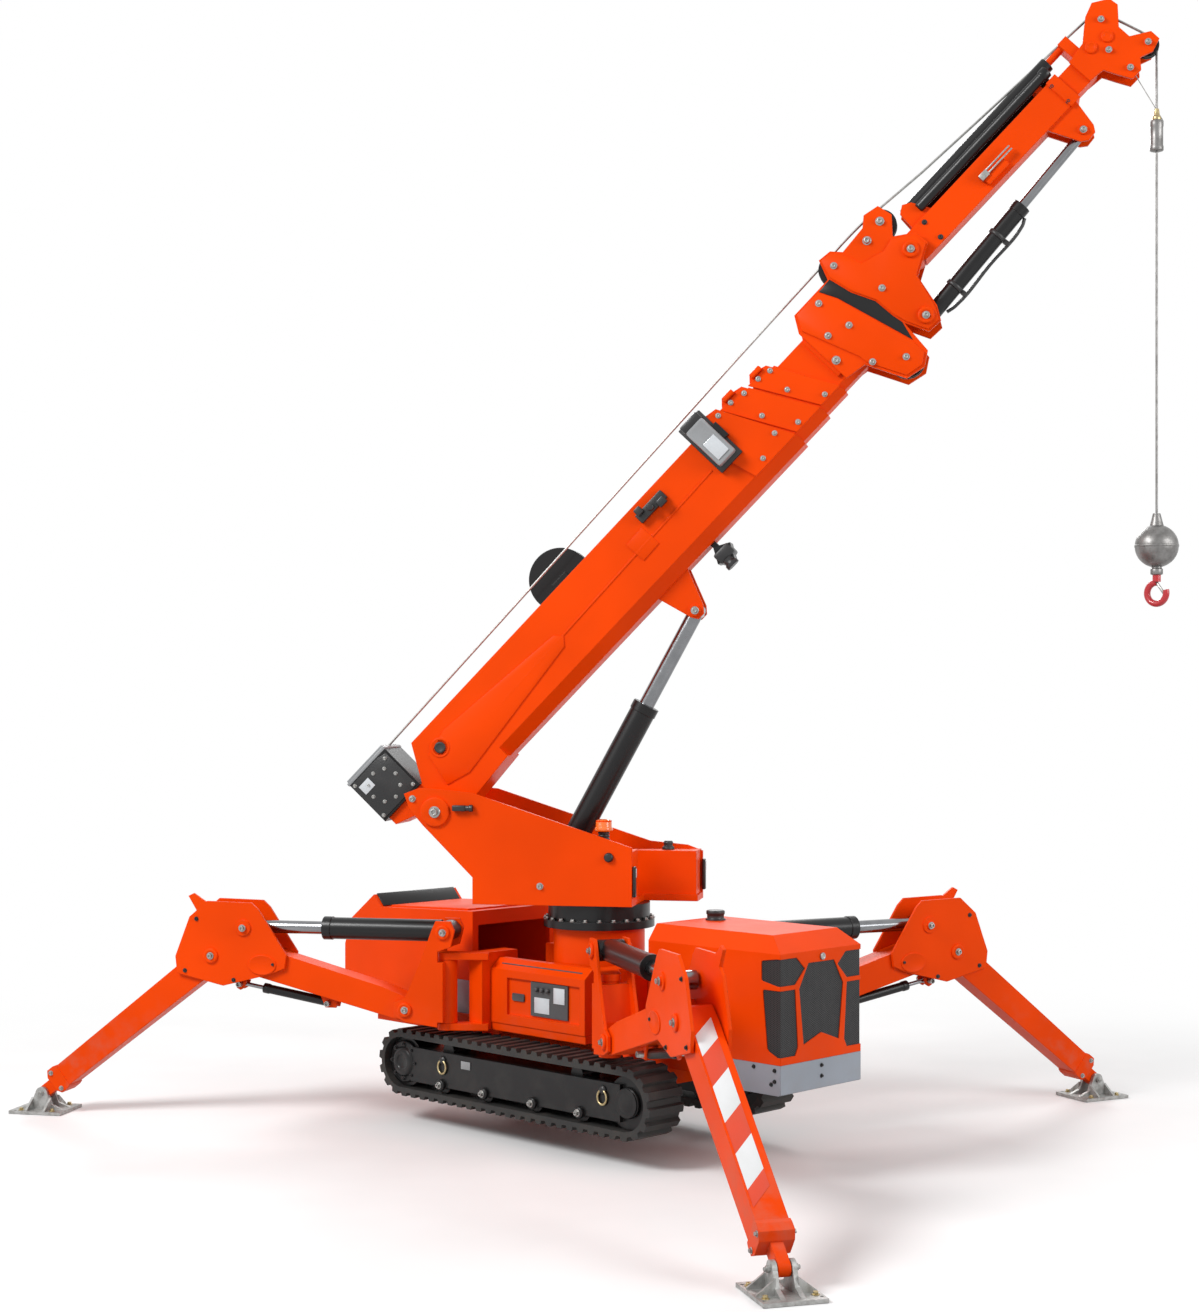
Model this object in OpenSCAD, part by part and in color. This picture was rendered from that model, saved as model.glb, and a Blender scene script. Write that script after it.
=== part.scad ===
// Spider crawler crane with a telescopic boom, a luffing jib and four folding outriggers.
// Millimetres, +Z up, +X towards the engine cover. The slewing axis stands on the origin.

/* [Stance] */
// Height of the track soles above the ground, with the crane raised on its pads
lift = 140; // [0:5:200]
// Heading of the boom from +X, towards +Y
slew_rest = 34; // [0:1:90]
// Elevation of the boom
boom_el = 46; // [5:1:78]
// Headings of the outriggers: front near, front far, rear near, rear far
leg_heading = [-29, 72, -148, 148]; // [-180:1:180]

/* [Tracks] */
// Overall length of a track
track_len = 1990; // [1500:10:2400]
// Overall height of a track
track_h = 352; // [250:2:500]
// Width of a track shoe
track_w = 236; // [150:2:400]
// Outer face of a track from the centre line
track_out = 540; // [400:5:700]
// Middle of the tracks along the machine
track_x = -124; // [-300:1:300]
// Number of shoes round one track
shoe_count = 58; // [30:1:90]
// Height of a shoe's lug
shoe_lug = 20; // [5:1:40]
// Thickness of the rubber band
band_t = 24; // [10:1:40]

/* [Bodywork] */
// Front face of the engine cover
cover_front = 1460; // [1200:5:1700]
// Rear face of the engine cover
cover_rear = 630; // [400:5:800]
// Half width of the engine cover
cover_half = 296; // [200:2:400]
// Lower edge of the covers
cover_low = 421; // [300:1:600]
// Top of the cover's upright sides
cover_side = 928; // [700:1:1100]
// Top of the engine cover
cover_top = 1005; // [800:1:1200]
// Length of the slope along the top edges
cover_slope = 97; // [40:1:200]
// Thickness of the cover's sheet, with its stiffening
sheet_t = 12; // [4:1:30]
// Rear face of the rear box
rear_end = -1715; // [-1900:5:-1400]

/* [Outriggers] */
// Swing pins from the slewing axis: front, rear
swing_x = [560, -620]; // [-900:5:900]
// Swing pins from the centre line
swing_y = 490; // [350:5:600]
// Lower pin of the swing bracket, out from the swing pin and up
arm_pin = [205, 485]; // [100:1:900]
// Upper pin of the swing bracket
ram_pin = [0, 890]; // [0:1:1000]
// Pin of the ram's rod on the knee plates
rod_pin = [1096, 888]; // [800:1:1300]
// Knee pin
knee_pin = [1278, 737]; // [900:1:1500]
// Length of the lower leg between its pins
leg_len = 1266; // [900:2:1600]
// Height of the pad's pin above its sole
pad_pin_h = 100; // [60:2:160]

/* [Boom] */
// Boom foot pin behind the slewing axis, and its height above the soles
boom_pin = [-794, 1519]; // [-1000:1:2000]
// Foot of the lift cylinder
lift_foot = [-250, 1150]; // [-500:1:1500]
// Eye of the lift rod on the boom, along it and above its pin
lift_eye = [1640, -225]; // [-300:1:2000]
// Half width of the base section
boom_half = 130; // [90:1:200]
// Top of the base section above the boom pin
boom_top = 364; // [250:1:450]
// Wall of a boom section
boom_wall = 10; // [5:1:20]
// Room between two boom sections
boom_gap = 5; // [3:1:10]
// Jib pin on the boom head
jib_pin = [3673, 228]; // [0:1:4000]
// Foot of the jib cylinder on the boom head
jib_foot = [3488, -55]; // [-200:1:4000]
// Eye of the jib rod under the jib arm
jib_eye = [4660, 20]; // [-100:1:5000]
// Sheave at the jib's tip
tip_pin = [5167, 83]; // [0:1:5400]

/* [Hook] */
// Radius of the hook ball
ball_r = 105; // [60:1:160]
// Height of the ball's middle above the soles
ball_z = 2843; // [1500:1:4000]
// Radius of the hoist rope
rope_r = 6; // [3:1:10]

/* [Hidden] */
$fn = 48;
orange = [1.0, 0.30, 0.02];
black = [0.05, 0.05, 0.05];
steel = [0.55, 0.56, 0.58];
chrome = [0.75, 0.76, 0.78];
grey = [0.60, 0.63, 0.68];
red = [0.75, 0.04, 0.06];
seat = 0.3;

loop_r = track_h / 2;
loop_straight = track_len - track_h;
band_r = loop_r - shoe_lug;
inner_r = band_r - band_t;
track_in = track_out - track_w;

slew_low = 930;
slew_top = 1053 - seat;
turret_low = 1053;
turret_half = 285;
turret_t = 20;

knuckle = [416, 744];
lug_t = 35;
swing_r = 24;
plate_in = 75;
plate_t = 15;
plate_out = plate_in + plate_t;

pad_pin_z = pad_pin_h - lift;
leg_drop = asin((knee_pin[1] - pad_pin_z) / leg_len);
pad_reach = knee_pin[0] + leg_len * cos(leg_drop);

tip_at = [boom_pin[0] + tip_pin[0] * cos(boom_el) - tip_pin[1] * sin(boom_el),
          boom_pin[1] + tip_pin[0] * sin(boom_el) + tip_pin[1] * cos(boom_el)];
groove = 18;
tip_r = 39;
hook_at = [tip_at[0] + tip_r + rope_r + seat, tip_at[1]];

// Shapes that repeat

// An upright plate: an outline in X and Z, t thick, its middle at y
module slab(points, y, t) {
    translate([0, y + t / 2, 0]) rotate([90, 0, 0]) linear_extrude(t) polygon(points);
}

// The same plate on both sides of the middle plane, from y0 out by t
module slab_pair(points, y0, t) {
    for (s = [-1, 1]) slab(points, s * (y0 + t / 2), t);
}

// A cylinder across the machine, at X and Z, from y0 to y1
module cross_bar(at, r, y0, y1) {
    translate([at[0], y0, at[1]]) rotate([-90, 0, 0]) cylinder(r = r, h = y1 - y0);
}

// A block between two corners
module block(low, high) {
    translate(low) cube(high - low);
}

// Everything above the tracks' soles
module raised() {
    translate([0, 0, lift]) children();
}

module on_turret() {
    raised() rotate([0, 0, slew_rest]) children();
}

module on_boom() {
    on_turret() translate([boom_pin[0], 0, boom_pin[1]]) rotate([0, -boom_el, 0]) children();
}

// Outriggers 0 front near, 1 front far, 2 rear near, 3 rear far: X points outwards
function swing_at(i) = [swing_x[i < 2 ? 0 : 1], (i % 2 == 0 ? -1 : 1) * swing_y, 0];

module on_outrigger(i) {
    raised() translate(swing_at(i)) rotate([0, 0, leg_heading[i]]) children();
}

// Along the line from one pin to another, in an upright plane
module from_pin(a, b) {
    translate([a[0], 0, a[1]]) rotate([0, -atan2(b[1] - a[1], b[0] - a[0]), 0]) children();
}

function span(a, b) = norm([b[0] - a[0], b[1] - a[1]]);

// A cylinder's barrel from its eye on the origin, along X: bore for the rod from back to the mouth
module barrel(length, r, rod_r, eye_r, eye_half, hole_r, back) {
    difference() {
        union() {
            translate([eye_r * 0.6, 0, 0]) rotate([0, 90, 0]) cylinder(r = r, h = length - eye_r * 0.6);
            translate([length - 45, 0, 0]) rotate([0, 90, 0]) cylinder(r = r + 4, h = 45);
            cross_bar([0, 0], eye_r, -eye_half, eye_half);
        }
        translate([back, 0, 0]) rotate([0, 90, 0]) cylinder(r = rod_r + seat, h = length);
        cross_bar([0, 0], hole_r, -eye_half - 9, eye_half + 9);
    }
}

// A cylinder's rod along X from its tail to the eye, which turns with its own pin
module rod(tail, eye_x, rod_r, eye_r, eye_half) {
    translate([tail, 0, 0]) rotate([0, 90, 0]) cylinder(r = rod_r, h = eye_x - tail - eye_r * 0.5);
    cross_bar([eye_x, 0], eye_r, -eye_half, eye_half);
}

// Bosses that hold a pin's ends, outside a pair of plates
module boss_pair(at, r, y0, y1) {
    cross_bar(at, r, y0, y1);
    cross_bar(at, r, -y1, -y0);
}

// A rope sheave with a groove
module sheave(at, r, half) {
    translate([at[0], 0, at[1]]) rotate([90, 0, 0]) rotate_extrude()
        polygon([[0, -half], [r, -half], [r, -half * 0.7], [r - groove, -half * 0.3],
                 [r - groove, half * 0.3], [r, half * 0.7], [r, half], [0, half]]);
}

// Chassis

module swing_lugs(i) {
    inward = i < 2 ? 180 - 42 : 42;
    turn = i % 2 == 0 ? inward : -inward;
    for (z = [knuckle[0] - lug_t - 1, knuckle[1] + 1])
        translate(swing_at(i)) translate([0, 0, z]) linear_extrude(lug_t) {
            circle(r = 54);
            rotate(turn) translate([0, -50]) square([215, 100]);
        }
    translate(swing_at(i)) translate([0, 0, knuckle[0] - lug_t - 1])
        cylinder(r = swing_r, h = knuckle[1] - knuckle[0] + 2 * lug_t + 2);
}

module chassis_frame() color(orange) raised() {
    block([-1560, -190, 300], [1380, 190, 420]);
    for (x = [-760, 330]) block([x, seat - track_in, 165], [x + 150, track_in - seat, 310]);
    block([-450, -335, 380], [237, 335, 420]);
    translate([0, 0, 410]) cylinder(r = 235, h = slew_low - 410);
    for (i = [0 : 3]) {
        swing_lugs(i);
        side = i % 2 == 0 ? -1 : 1;
        x0 = i < 2 ? swing_x[0] - 175 : swing_x[1] + 65;
        mirror([0, side < 0 ? 1 : 0, 0]) block([x0, 150, knuckle[0] - lug_t - 1], [x0 + 100, 400, knuckle[1] + lug_t + 1]);
    }
}

// The cover's outside, drawn in by d
module cover_form(d) {
    intersection() {
        slab([[cover_rear + d, cover_low - 1], [cover_front - d, cover_low - 1], [cover_front - d, cover_side - d * 0.4],
              [cover_front - cover_slope - d * 0.4, cover_top - d], [cover_rear + d, cover_top - d]], 0, 2 * cover_half + 2);
        translate([0, 0, 0]) rotate([90, 0, 90]) linear_extrude(cover_front + 2)
            polygon([[-cover_half + d, cover_low - 2], [cover_half - d, cover_low - 2], [cover_half - d, cover_side - d * 0.4],
                     [cover_half - 60 - d * 0.4, cover_top + 1 - d], [-cover_half + 60 + d * 0.4, cover_top + 1 - d], [-cover_half + d, cover_side - d * 0.4]]);
    }
}

// Window outlines: the middle one, then the upper and lower ones, which run round the corner
middle_window = [[-130, 498], [0, 543], [130, 498], [162, 760], [95, 873], [-95, 873], [-162, 760]];
// Across from the corner inwards, and up
corner_windows = [[[0, 781], [105, 781], [176, 850], [116, 905], [0, 905]],
                  [[0, 455], [106, 455], [126, 493], [106, 760], [0, 760]]];
// Back along the side from the corner, and up
side_windows = [[[0, 781], [20, 781], [108, 799], [114, 806], [114, 888], [106, 893], [20, 905], [0, 905]],
                [[0, 455], [20, 455], [70, 479], [80, 490], [106, 752], [100, 760], [0, 760]]];

// A prism through each window: its outer face at proud beyond the cover, t thick
module window_prisms(proud, t) {
    face = cover_front + proud;
    edge = cover_half + proud;
    translate([face - t, 0, 0]) rotate([90, 0, 90]) linear_extrude(t) polygon(middle_window);
    for (s = [0, 1]) mirror([0, s, 0]) {
        for (w = corner_windows) translate([face - t, 0, 0]) rotate([90, 0, 90]) linear_extrude(t)
            polygon([for (q = w) [edge - (q[0] > 0 ? q[0] + proud : 0), q[1]]]);
        for (w = side_windows) slab([for (q = w) [face - (q[0] > 0 ? q[0] + proud : 0), q[1]]], edge - t / 2, t);
    }
}

module engine_cover() color(orange) raised() difference() {
    cover_form(0);
    difference() {
        cover_form(sheet_t);
        block([0, -400, cover_low - 5], [cover_rear + sheet_t, 400, 1200]);
    }
    block([cover_rear + sheet_t, sheet_t - cover_half, cover_low - 5], [cover_front - sheet_t, cover_half - sheet_t, cover_low + 5]);
    window_prisms(5, sheet_t + 10);
}

module engine_block() color(black) raised()
    block([720, -210, 420 + seat], [1360, 210, 850]);

module cover_grilles() color(black) raised()
    window_prisms(-4, 5);

module bumper_skirt() color(grey) raised() difference() {
    block([1150, -cover_half, 280], [cover_front, cover_half, cover_low - 1 - seat]);
    block([1100, -cover_half + 10, 270], [cover_front - 10, cover_half - 10, 430]);
    slab([[1100, 270], [1240, 270], [1180, 330], [1100, 330]], 0, 700);
    slab([[1420, 270], [1500, 270], [1500, 300]], 0, 700);
}

module side_box() {
    difference() {
        block([-450, 240, 420 + seat], [237, 340, 750]);
        translate([0, 340, 700]) rotate([-40, 0, 0]) block([-500, -100, 0], [300, 100, 200]);
        block([-330, 325, 470], [200, 360, 660]);
    }
}

module side_boxes() color(orange) raised() {
    side_box();
    mirror([0, 1, 0]) side_box();
}

module rear_box() color(orange) raised() difference() {
    slab([[rear_end, 420 + seat], [rear_end, 720], [-1660, 865], [-1460, 1010], [-1400, 945], [-640, 975], [-640, 420 + seat]], 0, 600);
    slab([[-1690, 430], [-1690, 700], [-1640, 840], [-1460, 980], [-1400, 915], [-670, 945], [-670, 430]], 0, 570);
    block([-700, -260, 380], [-600, 260, 900]);
}

// Tracks

// A point of the loop: d along it, off outwards
function loop_pt(d, off) =
    let (half_turn = PI * band_r,
         whole = 2 * loop_straight + 2 * half_turn,
         e = d % whole,
         r = band_r + off)
    e < loop_straight ? [-loop_straight / 2 + e, -r]
    : e < loop_straight + half_turn ?
        let (a = -90 + (e - loop_straight) / half_turn * 180) [loop_straight / 2 + r * cos(a), r * sin(a)]
    : e < 2 * loop_straight + half_turn ? [loop_straight / 2 - (e - loop_straight - half_turn), r]
    : let (a = 90 + (e - 2 * loop_straight - half_turn) / half_turn * 180) [-loop_straight / 2 + r * cos(a), r * sin(a)];

loop_whole = 2 * loop_straight + 2 * PI * band_r;
shoe_pitch = loop_whole / shoe_count;
shoe_outline = [for (i = [0 : shoe_count - 1], k = [[0.04, 0], [0.14, 1], [0.58, 1], [0.68, 0]])
    loop_pt((i + k[0]) * shoe_pitch, k[1] * shoe_lug)];

module stadium(r) {
    for (s = [-1, 1]) translate([s * loop_straight / 2, 0]) circle(r = r);
    translate([-loop_straight / 2, -r]) square([loop_straight, 2 * r]);
}

module track_at(side) {
    raised() translate([track_x, side * (track_in + track_w / 2) + track_w / 2, loop_r]) rotate([90, 0, 0])
        linear_extrude(track_w) difference() {
            polygon(shoe_outline);
            stadium(inner_r);
        }
}

module track_near() color(black) track_at(-1);
module track_far() color(black) track_at(1);

roller_x = [-510, -180, 180, 510];

module track_frame_at(side) {
    raised() translate([track_x, side * (track_in + track_w / 2), loop_r]) {
        block([-loop_straight / 2 + 60, -track_w / 2, -95], [loop_straight / 2 - 40, track_w / 2 - 20, 85]);
        for (x = [-1, 1]) cross_bar([x * loop_straight / 2, 0], inner_r - seat, -75, 75);
        for (x = [-1, 1]) cross_bar([x * loop_straight / 2, 0], 70, -100, 100);
        for (x = roller_x) cross_bar([x, -inner_r + seat + 48], 48, -80, 80);
        for (x = [-500, 450]) cross_bar([x, inner_r - seat - 40], 40, -60, 60);
        for (x = roller_x) cross_bar([x, -inner_r + 48], 16, -track_w / 2, track_w / 2);
    }
}

module track_frames() color(black) {
    track_frame_at(1);
    mirror([0, 1, 0]) track_frame_at(1);
}

module slewing_ring() color(black) raised() difference() {
    union() {
        translate([0, 0, slew_low]) cylinder(r = 262, h = slew_top - slew_low);
        translate([0, 0, slew_low]) cylinder(r = 285, h = 40);
    }
    translate([0, 0, slew_low - 1]) cylinder(r = 150, h = 300);
}

// Turret

turret_near = [[-580, turret_low], [220, turret_low], [220, 1349], [-600, 1616], [-740, 1630], [-880, 1640],
               [-960, 1610], [-930, 1530], [-860, 1450], [-800, 1390], [-580, 1169]];
turret_far = [[-580, turret_low], [500, turret_low], [500, 1300], [420, 1330], [220, 1349], [-600, 1616], [-740, 1630], [-880, 1640],
              [-960, 1610], [-930, 1530], [-860, 1450], [-800, 1390], [-580, 1169]];

module turret_frame() color(orange) on_turret() {
    slab(turret_near, -turret_half + turret_t / 2, turret_t);
    slab(turret_far, turret_half - turret_t / 2, turret_t);
    block([-600, -turret_half, turret_low], [220, turret_half, turret_low + 32]);
    block([200, 80, turret_low], [500, turret_half, turret_low + 32]);
    block([-20, -turret_half, turret_low], [220, -100, 1330]);
    block([-20, 100, turret_low], [490, turret_half, 1310]);
    block([-600, -turret_half, turret_low], [-575, turret_half, 1190]);
    cross_bar(boom_pin, 40, -turret_half - 15, turret_half + 15);
    cross_bar(lift_foot, 30, -turret_half, turret_half);
}

module beacon() color(orange) on_turret() translate([60, -190, 1330 + seat]) {
    cylinder(r = 32, h = 25);
    cylinder(r = 22, h = 100);
    translate([0, 0, 95]) cylinder(r = 40, h = 55);
}

// Lift cylinder

lift_at = [boom_pin[0] + lift_eye[0] * cos(boom_el) - lift_eye[1] * sin(boom_el),
           boom_pin[1] + lift_eye[0] * sin(boom_el) + lift_eye[1] * cos(boom_el)];

module lift_barrel() color(black) on_turret() from_pin(lift_foot, lift_at)
    barrel(1040, 66, 40, 58, 70, 31, 90);

module lift_rod() color(chrome) on_turret() from_pin(lift_foot, lift_at)
    rod(560, span(lift_foot, lift_at), 40, 42, 40);

// Boom

// A section's outside, drawn in by d: across and up
function boom_ring(d) = [[-boom_half + d, boom_top - d], [-boom_half + d, 12 + d * 0.4], [-70 + d * 0.6, -50 + d],
                         [70 - d * 0.6, -50 + d], [boom_half - d, 12 + d * 0.4], [boom_half - d, boom_top - d]];

module boom_prism(d, s0, s1) {
    translate([s0, 0, 0]) rotate([90, 0, 90]) linear_extrude(s1 - s0) polygon(boom_ring(d));
}

// A tube whose far end slants from s_top down to s_low
module boom_tube(d, s0, s_top, s_low) {
    difference() {
        boom_prism(d, s0, s_low + 100);
        boom_prism(d + boom_wall, s0 - 10, s_low + 200);
        slab([[s_top, boom_top + 20], [s_low, 0], [s_low, -100], [s_low + 300, -100], [s_low + 300, boom_top + 20]], 0, 2 * boom_half + 100);
    }
}

// Side plates of a collar: near end and far end of a slanted band
module collar(d, a_top, a_low, b_top, b_low, t) {
    slab_pair([[a_top, boom_top - d + 25], [b_top - 3, boom_top - d + 25], [b_low - 3, 8 + d * 0.4], [a_low, 8 + d * 0.4]], boom_half - d - 1, t + 1);
    ear = a_top + ear_back;
    slab_pair([[ear, boom_top - d - 2], [b_top - 3, boom_top - d - 2], [b_top - 3, boom_top - d + 30], [ear + 30, boom_top - d + 60], [ear, boom_top - d + 30]], boom_half - d - 40, 40);
}

step = boom_wall + boom_gap;
ear_back = 16;

// Wear pads on the rear end of an inner section, above and below
module wear_pads(d, s0) {
    block([s0, -40, -50 + d - boom_gap + seat], [s0 + 120, 40, -45 + d]);
    block([s0, -60, boom_top - d - 5], [s0 + 120, 60, boom_top - d + boom_gap - seat]);
}

module boom_base() color(orange) on_boom() {
    boom_tube(0, 420, 2450, 2630);
    difference() {
        slab([[-75, -20], [-55, 60], [-230, 130], [-230, 178], [20, 178], [130, boom_top], [440, boom_top], [440, -50], [90, -75], [0, -85]], 0, 2 * boom_half);
        block([150, -boom_half + 12, -40], [430, boom_half - 12, boom_top - 12]);
        cross_bar([0, 0], 41, -turret_half, turret_half);
    }
    difference() {
        cross_bar([0, 0], 85, -turret_half + turret_t + 5, turret_half - turret_t - 5);
        cross_bar([0, 0], 40 + seat, -turret_half, turret_half);
    }
    collar(0, 2250, 2340, 2450, 2630, 12);
    slab_pair([[1550, -40], [1600, -235], [1620, -268], [1660, -268], [1690, -235], [1770, -40]], 45, 16);
    boss_pair(lift_eye, 30, 58, 72);
}

module winch() color(black) on_boom() {
    block([-255, -150, 178 + seat], [15, 150, 440]);
    block([-250, -120, 430], [10, 120, 462]);
}

module cable_reel() color(black) on_boom() {
    cross_bar([1250, 430], 168, boom_half + 12, boom_half + 22);
    cross_bar([1250, 430], 95, boom_half + 20, boom_half + 70);
    cross_bar([1250, 430], 168, boom_half + 68, boom_half + 78);
    block([1200, boom_half + seat, 250], [1300, boom_half + 12, 440]);
}

module boom_lamps() color(black) on_boom() {
    block([1930, -30, -110], [1960, 30, -50 - seat]);
    translate([1950, 0, -130]) rotate([0, 30, 0]) block([-45, -60, -45], [45, 60, 45]);
    block([2250, -boom_half - 60, 250], [2400, -boom_half - 12 - seat, 340]);
}

module boom_section_2() color(orange) on_boom() {
    boom_tube(step, 450, 2620, 2810);
    wear_pads(step, 450);
    collar(step, 2456, 2640, 2620, 2810, 10);
}

module boom_section_3() color(orange) on_boom() {
    boom_tube(2 * step, 480, 2780, 2955);
    wear_pads(2 * step, 480);
    collar(2 * step, 2640, 2820, 2780, 2955, 10);
}

module boom_section_4() color(orange) on_boom() {
    wear_pads(3 * step, 510);
    boom_tube(3 * step, 510, 3040, 3120);
}

head_plate = [[3000, 20], [3000, 350], [3050, 430], [3290, 430], [3330, 530], [3400, 520], [3440, 470], [3590, 480], [3640, 520], [3720, 500],
              [3735, 420], [3660, 340], [3750, 270], [3755, 190], [3600, 110], [3560, -60], [3520, -125], [3440, -120], [3390, 0], [3370, -180], [3300, -225], [3200, -200], [3110, 0]];
head_in = boom_half - 3 * step + 14;

module boom_head() color(orange) on_boom() {
    slab_pair(head_plate, head_in, 16);
    slab_pair([[2980, 60], [3130, 60], [3080, 300], [2980, 300]], boom_half - 3 * step + seat, head_in + 2 - (boom_half - 3 * step + seat));
    for (at = [jib_pin, jib_foot]) cross_bar(at, 25, -head_in - 24, head_in + 24);
    for (at = [[3180, 385], [3560, 420]]) cross_bar(at, 16, -head_in - 24, head_in + 24);
}

module head_sheaves() color(black) on_boom()
    for (at = [[3360, 455, 85], [3672, 440, 80], [3275, -125, 90]]) {
        sheave(at, at[2], 24);
        cross_bar(at, 18, -head_in + seat, head_in - seat);
    }

// Jib

arm_half = 72;
arm_low = 145;
arm_high = 305;

module jib_arm() color(orange) on_boom() difference() {
    union() {
        block([3690, -arm_half, arm_low], [4760, arm_half, arm_high]);
        cross_bar(jib_pin, 78, -arm_half, arm_half);
        slab_pair([[4540, arm_low + 10], [4610, -10], [4640, -35], [4690, -30], [4710, 0], [4740, arm_low + 10]], 44, 16);
        boss_pair(jib_eye, 24, 58, 68);
        slab_pair([[3760, arm_high - 10], [3770, 400], [3810, 425], [3850, 400], [3900, arm_high - 10]], 44, 14);
        block([4640, -50, arm_high - 5], [4680, 50, 346]);
    }
    block([3790, -arm_half + 9, arm_low + 9], [4800, arm_half - 9, arm_high - 9]);
    cross_bar(jib_pin, 26, -100, 100);
}

module jib_barrel() color(black) on_boom() from_pin(jib_foot, jib_eye)
    barrel(720, 42, 24, 42, 50, 26, 75);

module jib_rod() color(chrome) on_boom() from_pin(jib_foot, jib_eye)
    rod(440, span(jib_foot, jib_eye), 24, 34, 38);

tip_plate = [[4850, 160], [4850, 300], [4960, 315], [5060, 395], [5130, 420], [5200, 370], [5205, 320], [5130, 240], [5130, 170],
             [5215, 110], [5215, 55], [5150, 35], [5090, 60], [5050, 15], [4990, 15], [4960, 80], [4930, 150]];
slide_half = arm_half - 9 - boom_gap;
top_pin = [5100, 330];

module jib_slide() color(orange) on_boom() {
    block([3830, -slide_half, arm_low + 14], [4900, slide_half, arm_high - 14]);
    block([3830, -40, arm_low + 9 + seat], [3950, 40, arm_low + 20]);
    slab_pair(tip_plate, slide_half - 2, 16);
    for (at = [[5017, 198], [5022, 60], top_pin, tip_pin]) cross_bar(at, 15, -slide_half - 22, slide_half + 22);
    translate([3950, 0, 386]) rotate([0, 90, 0]) cylinder(r = 18, h = 980);
    block([4880, -slide_half, 280], [4935, slide_half, 405]);
}

module jib_ram() color(black) on_boom() difference() {
    union() {
        translate([3790, 0, 386]) rotate([0, 90, 0]) cylinder(r = 38, h = 1000);
        cross_bar([3810, 386], 30, -44 + seat, 44 - seat);
    }
    translate([3900, 0, 386]) rotate([0, 90, 0]) cylinder(r = 18 + seat, h = 1000);
}

module jib_sheaves() color(black) on_boom() {
    for (at = [[top_pin[0], top_pin[1], 56], [tip_pin[0], tip_pin[1], tip_r]]) difference() {
        sheave(at, at[2] + groove, 20);
        cross_bar(at, 16, -40, 40);
    }
}

// Hook line

module hoist_fall() color(steel) on_turret() translate([hook_at[0], 0, 0]) {
    translate([0, 0, ball_z]) cylinder(r = rope_r, h = hook_at[1] - ball_z);
    translate([0, 0, 4780]) cylinder(r = 30, h = 140);
    translate([0, 0, ball_z]) sphere(r = ball_r);
    translate([0, 0, ball_z]) cylinder(r1 = 60, r2 = 18, h = 160);
    translate([0, 0, ball_z - 135]) cylinder(r = 22, h = 80);
}

module hook() color(red) on_turret() translate([hook_at[0], 0, ball_z - 135 - seat]) rotate([0, 0, -slew_rest]) {
    translate([0, 0, -40]) cylinder(r = 20, h = 40);
    translate([0, 0, -95]) rotate([90, 0, 0]) rotate_extrude(angle = 285, start = 90) translate([52, 0]) circle(r = 16);
}

// Outriggers

bracket_plate = [[30, 400], [200, 422], [266, 450], [266, 520], [205, 548], [120, 740], [62, 900], [40, 948], [-40, 948], [-62, 900], [-40, 815], [30, 790]];

module bracket(i) color(orange) on_outrigger(i) difference() {
    union() {
        translate([0, 0, knuckle[0]]) cylinder(r = 50, h = knuckle[1] - knuckle[0]);
        slab([[0, 425], [110, 425], [110, 560], [70, 735], [0, 735]], 0, 2 * plate_out);
        slab_pair(bracket_plate, plate_in, plate_t);
        cross_bar(ram_pin, 20, -plate_out - 12, plate_out + 12);
        cross_bar(arm_pin, 25, -plate_out - 12, plate_out + 12);
    }
    translate([0, 0, knuckle[0] - 1]) cylinder(r = swing_r + seat, h = knuckle[1] - knuckle[0] + 2);
}

knee_plate = [[1300, 1025], [1050, 1020], [1012, 985], [856, 750], [866, 680], [950, 645], [1209, 580], [1470, 640], [1480, 730], [1400, 940]];

module arm(i) color(orange) on_outrigger(i) {
    difference() {
        union() {
            slab([[190, 430], [240, 428], [1060, 640], [1060, 800], [340, 600], [190, 542]], 0, 2 * plate_in - 12);
            cross_bar(arm_pin, 57, -plate_in + 6, plate_in - 6);
        }
        cross_bar(arm_pin, 25 + seat, -100, 100);
    }
    slab([[880, 660], [1060, 690], [1060, 790], [880, 740]], 0, 2 * plate_in + 2);
    slab_pair(knee_plate, plate_in, plate_t);
    boss_pair(rod_pin, 42, plate_out - 1, plate_out + 8);
    boss_pair(rod_pin, 20, plate_out - 1, plate_out + 16);
    cross_bar(knee_pin, 25, -plate_out - 10, plate_out + 10);
    slab([[1290, 1010], [1350, 960], [1405, 1050], [1375, 1065]], plate_in + plate_t / 2, plate_t);
}

ram_len = 674;

module ram_barrel(i) color(black) on_outrigger(i) from_pin(ram_pin, rod_pin)
    barrel(ram_len, 57, 34, 52, 66, 20 + seat, 75);

module ram_rod(i) color(black) on_outrigger(i) from_pin(ram_pin, rod_pin)
    rod(430, span(ram_pin, rod_pin), 34, 42, 60);

leg_end = leg_len - 116;

module leg(i) color(orange) on_outrigger(i) translate([knee_pin[0], 0, knee_pin[1]]) rotate([0, leg_drop, 0]) difference() {
    union() {
        slab([[0, -70], [60, -76], [leg_end - 20, -62], [leg_end, -45], [leg_end, 45], [leg_end - 20, 62], [60, 76], [0, 70]], 0, 2 * plate_in - 14);
        slab([[leg_end - 60, -66], [leg_end - 40, -72], [leg_end, -72], [leg_end + 22, -40], [leg_end + 22, 40], [leg_end, 72], [leg_end - 40, 72], [leg_end - 60, 66]], 0, 2 * plate_in - 4);
        cross_bar([0, 0], 70, -plate_in + 7, plate_in - 7);
        cross_bar([leg_len, 0], 34, -26, 26);
        slab([[leg_end - 10, -34], [leg_len, -34], [leg_len, 34], [leg_end - 10, 34]], 0, 52);
    }
    cross_bar([0, 0], 25 + seat, -100, 100);
    cross_bar([leg_len, 0], 15 + seat, -100, 100);
}

bolt_off = 115;
rib_off = 52;
rib_t = 12;

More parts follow.
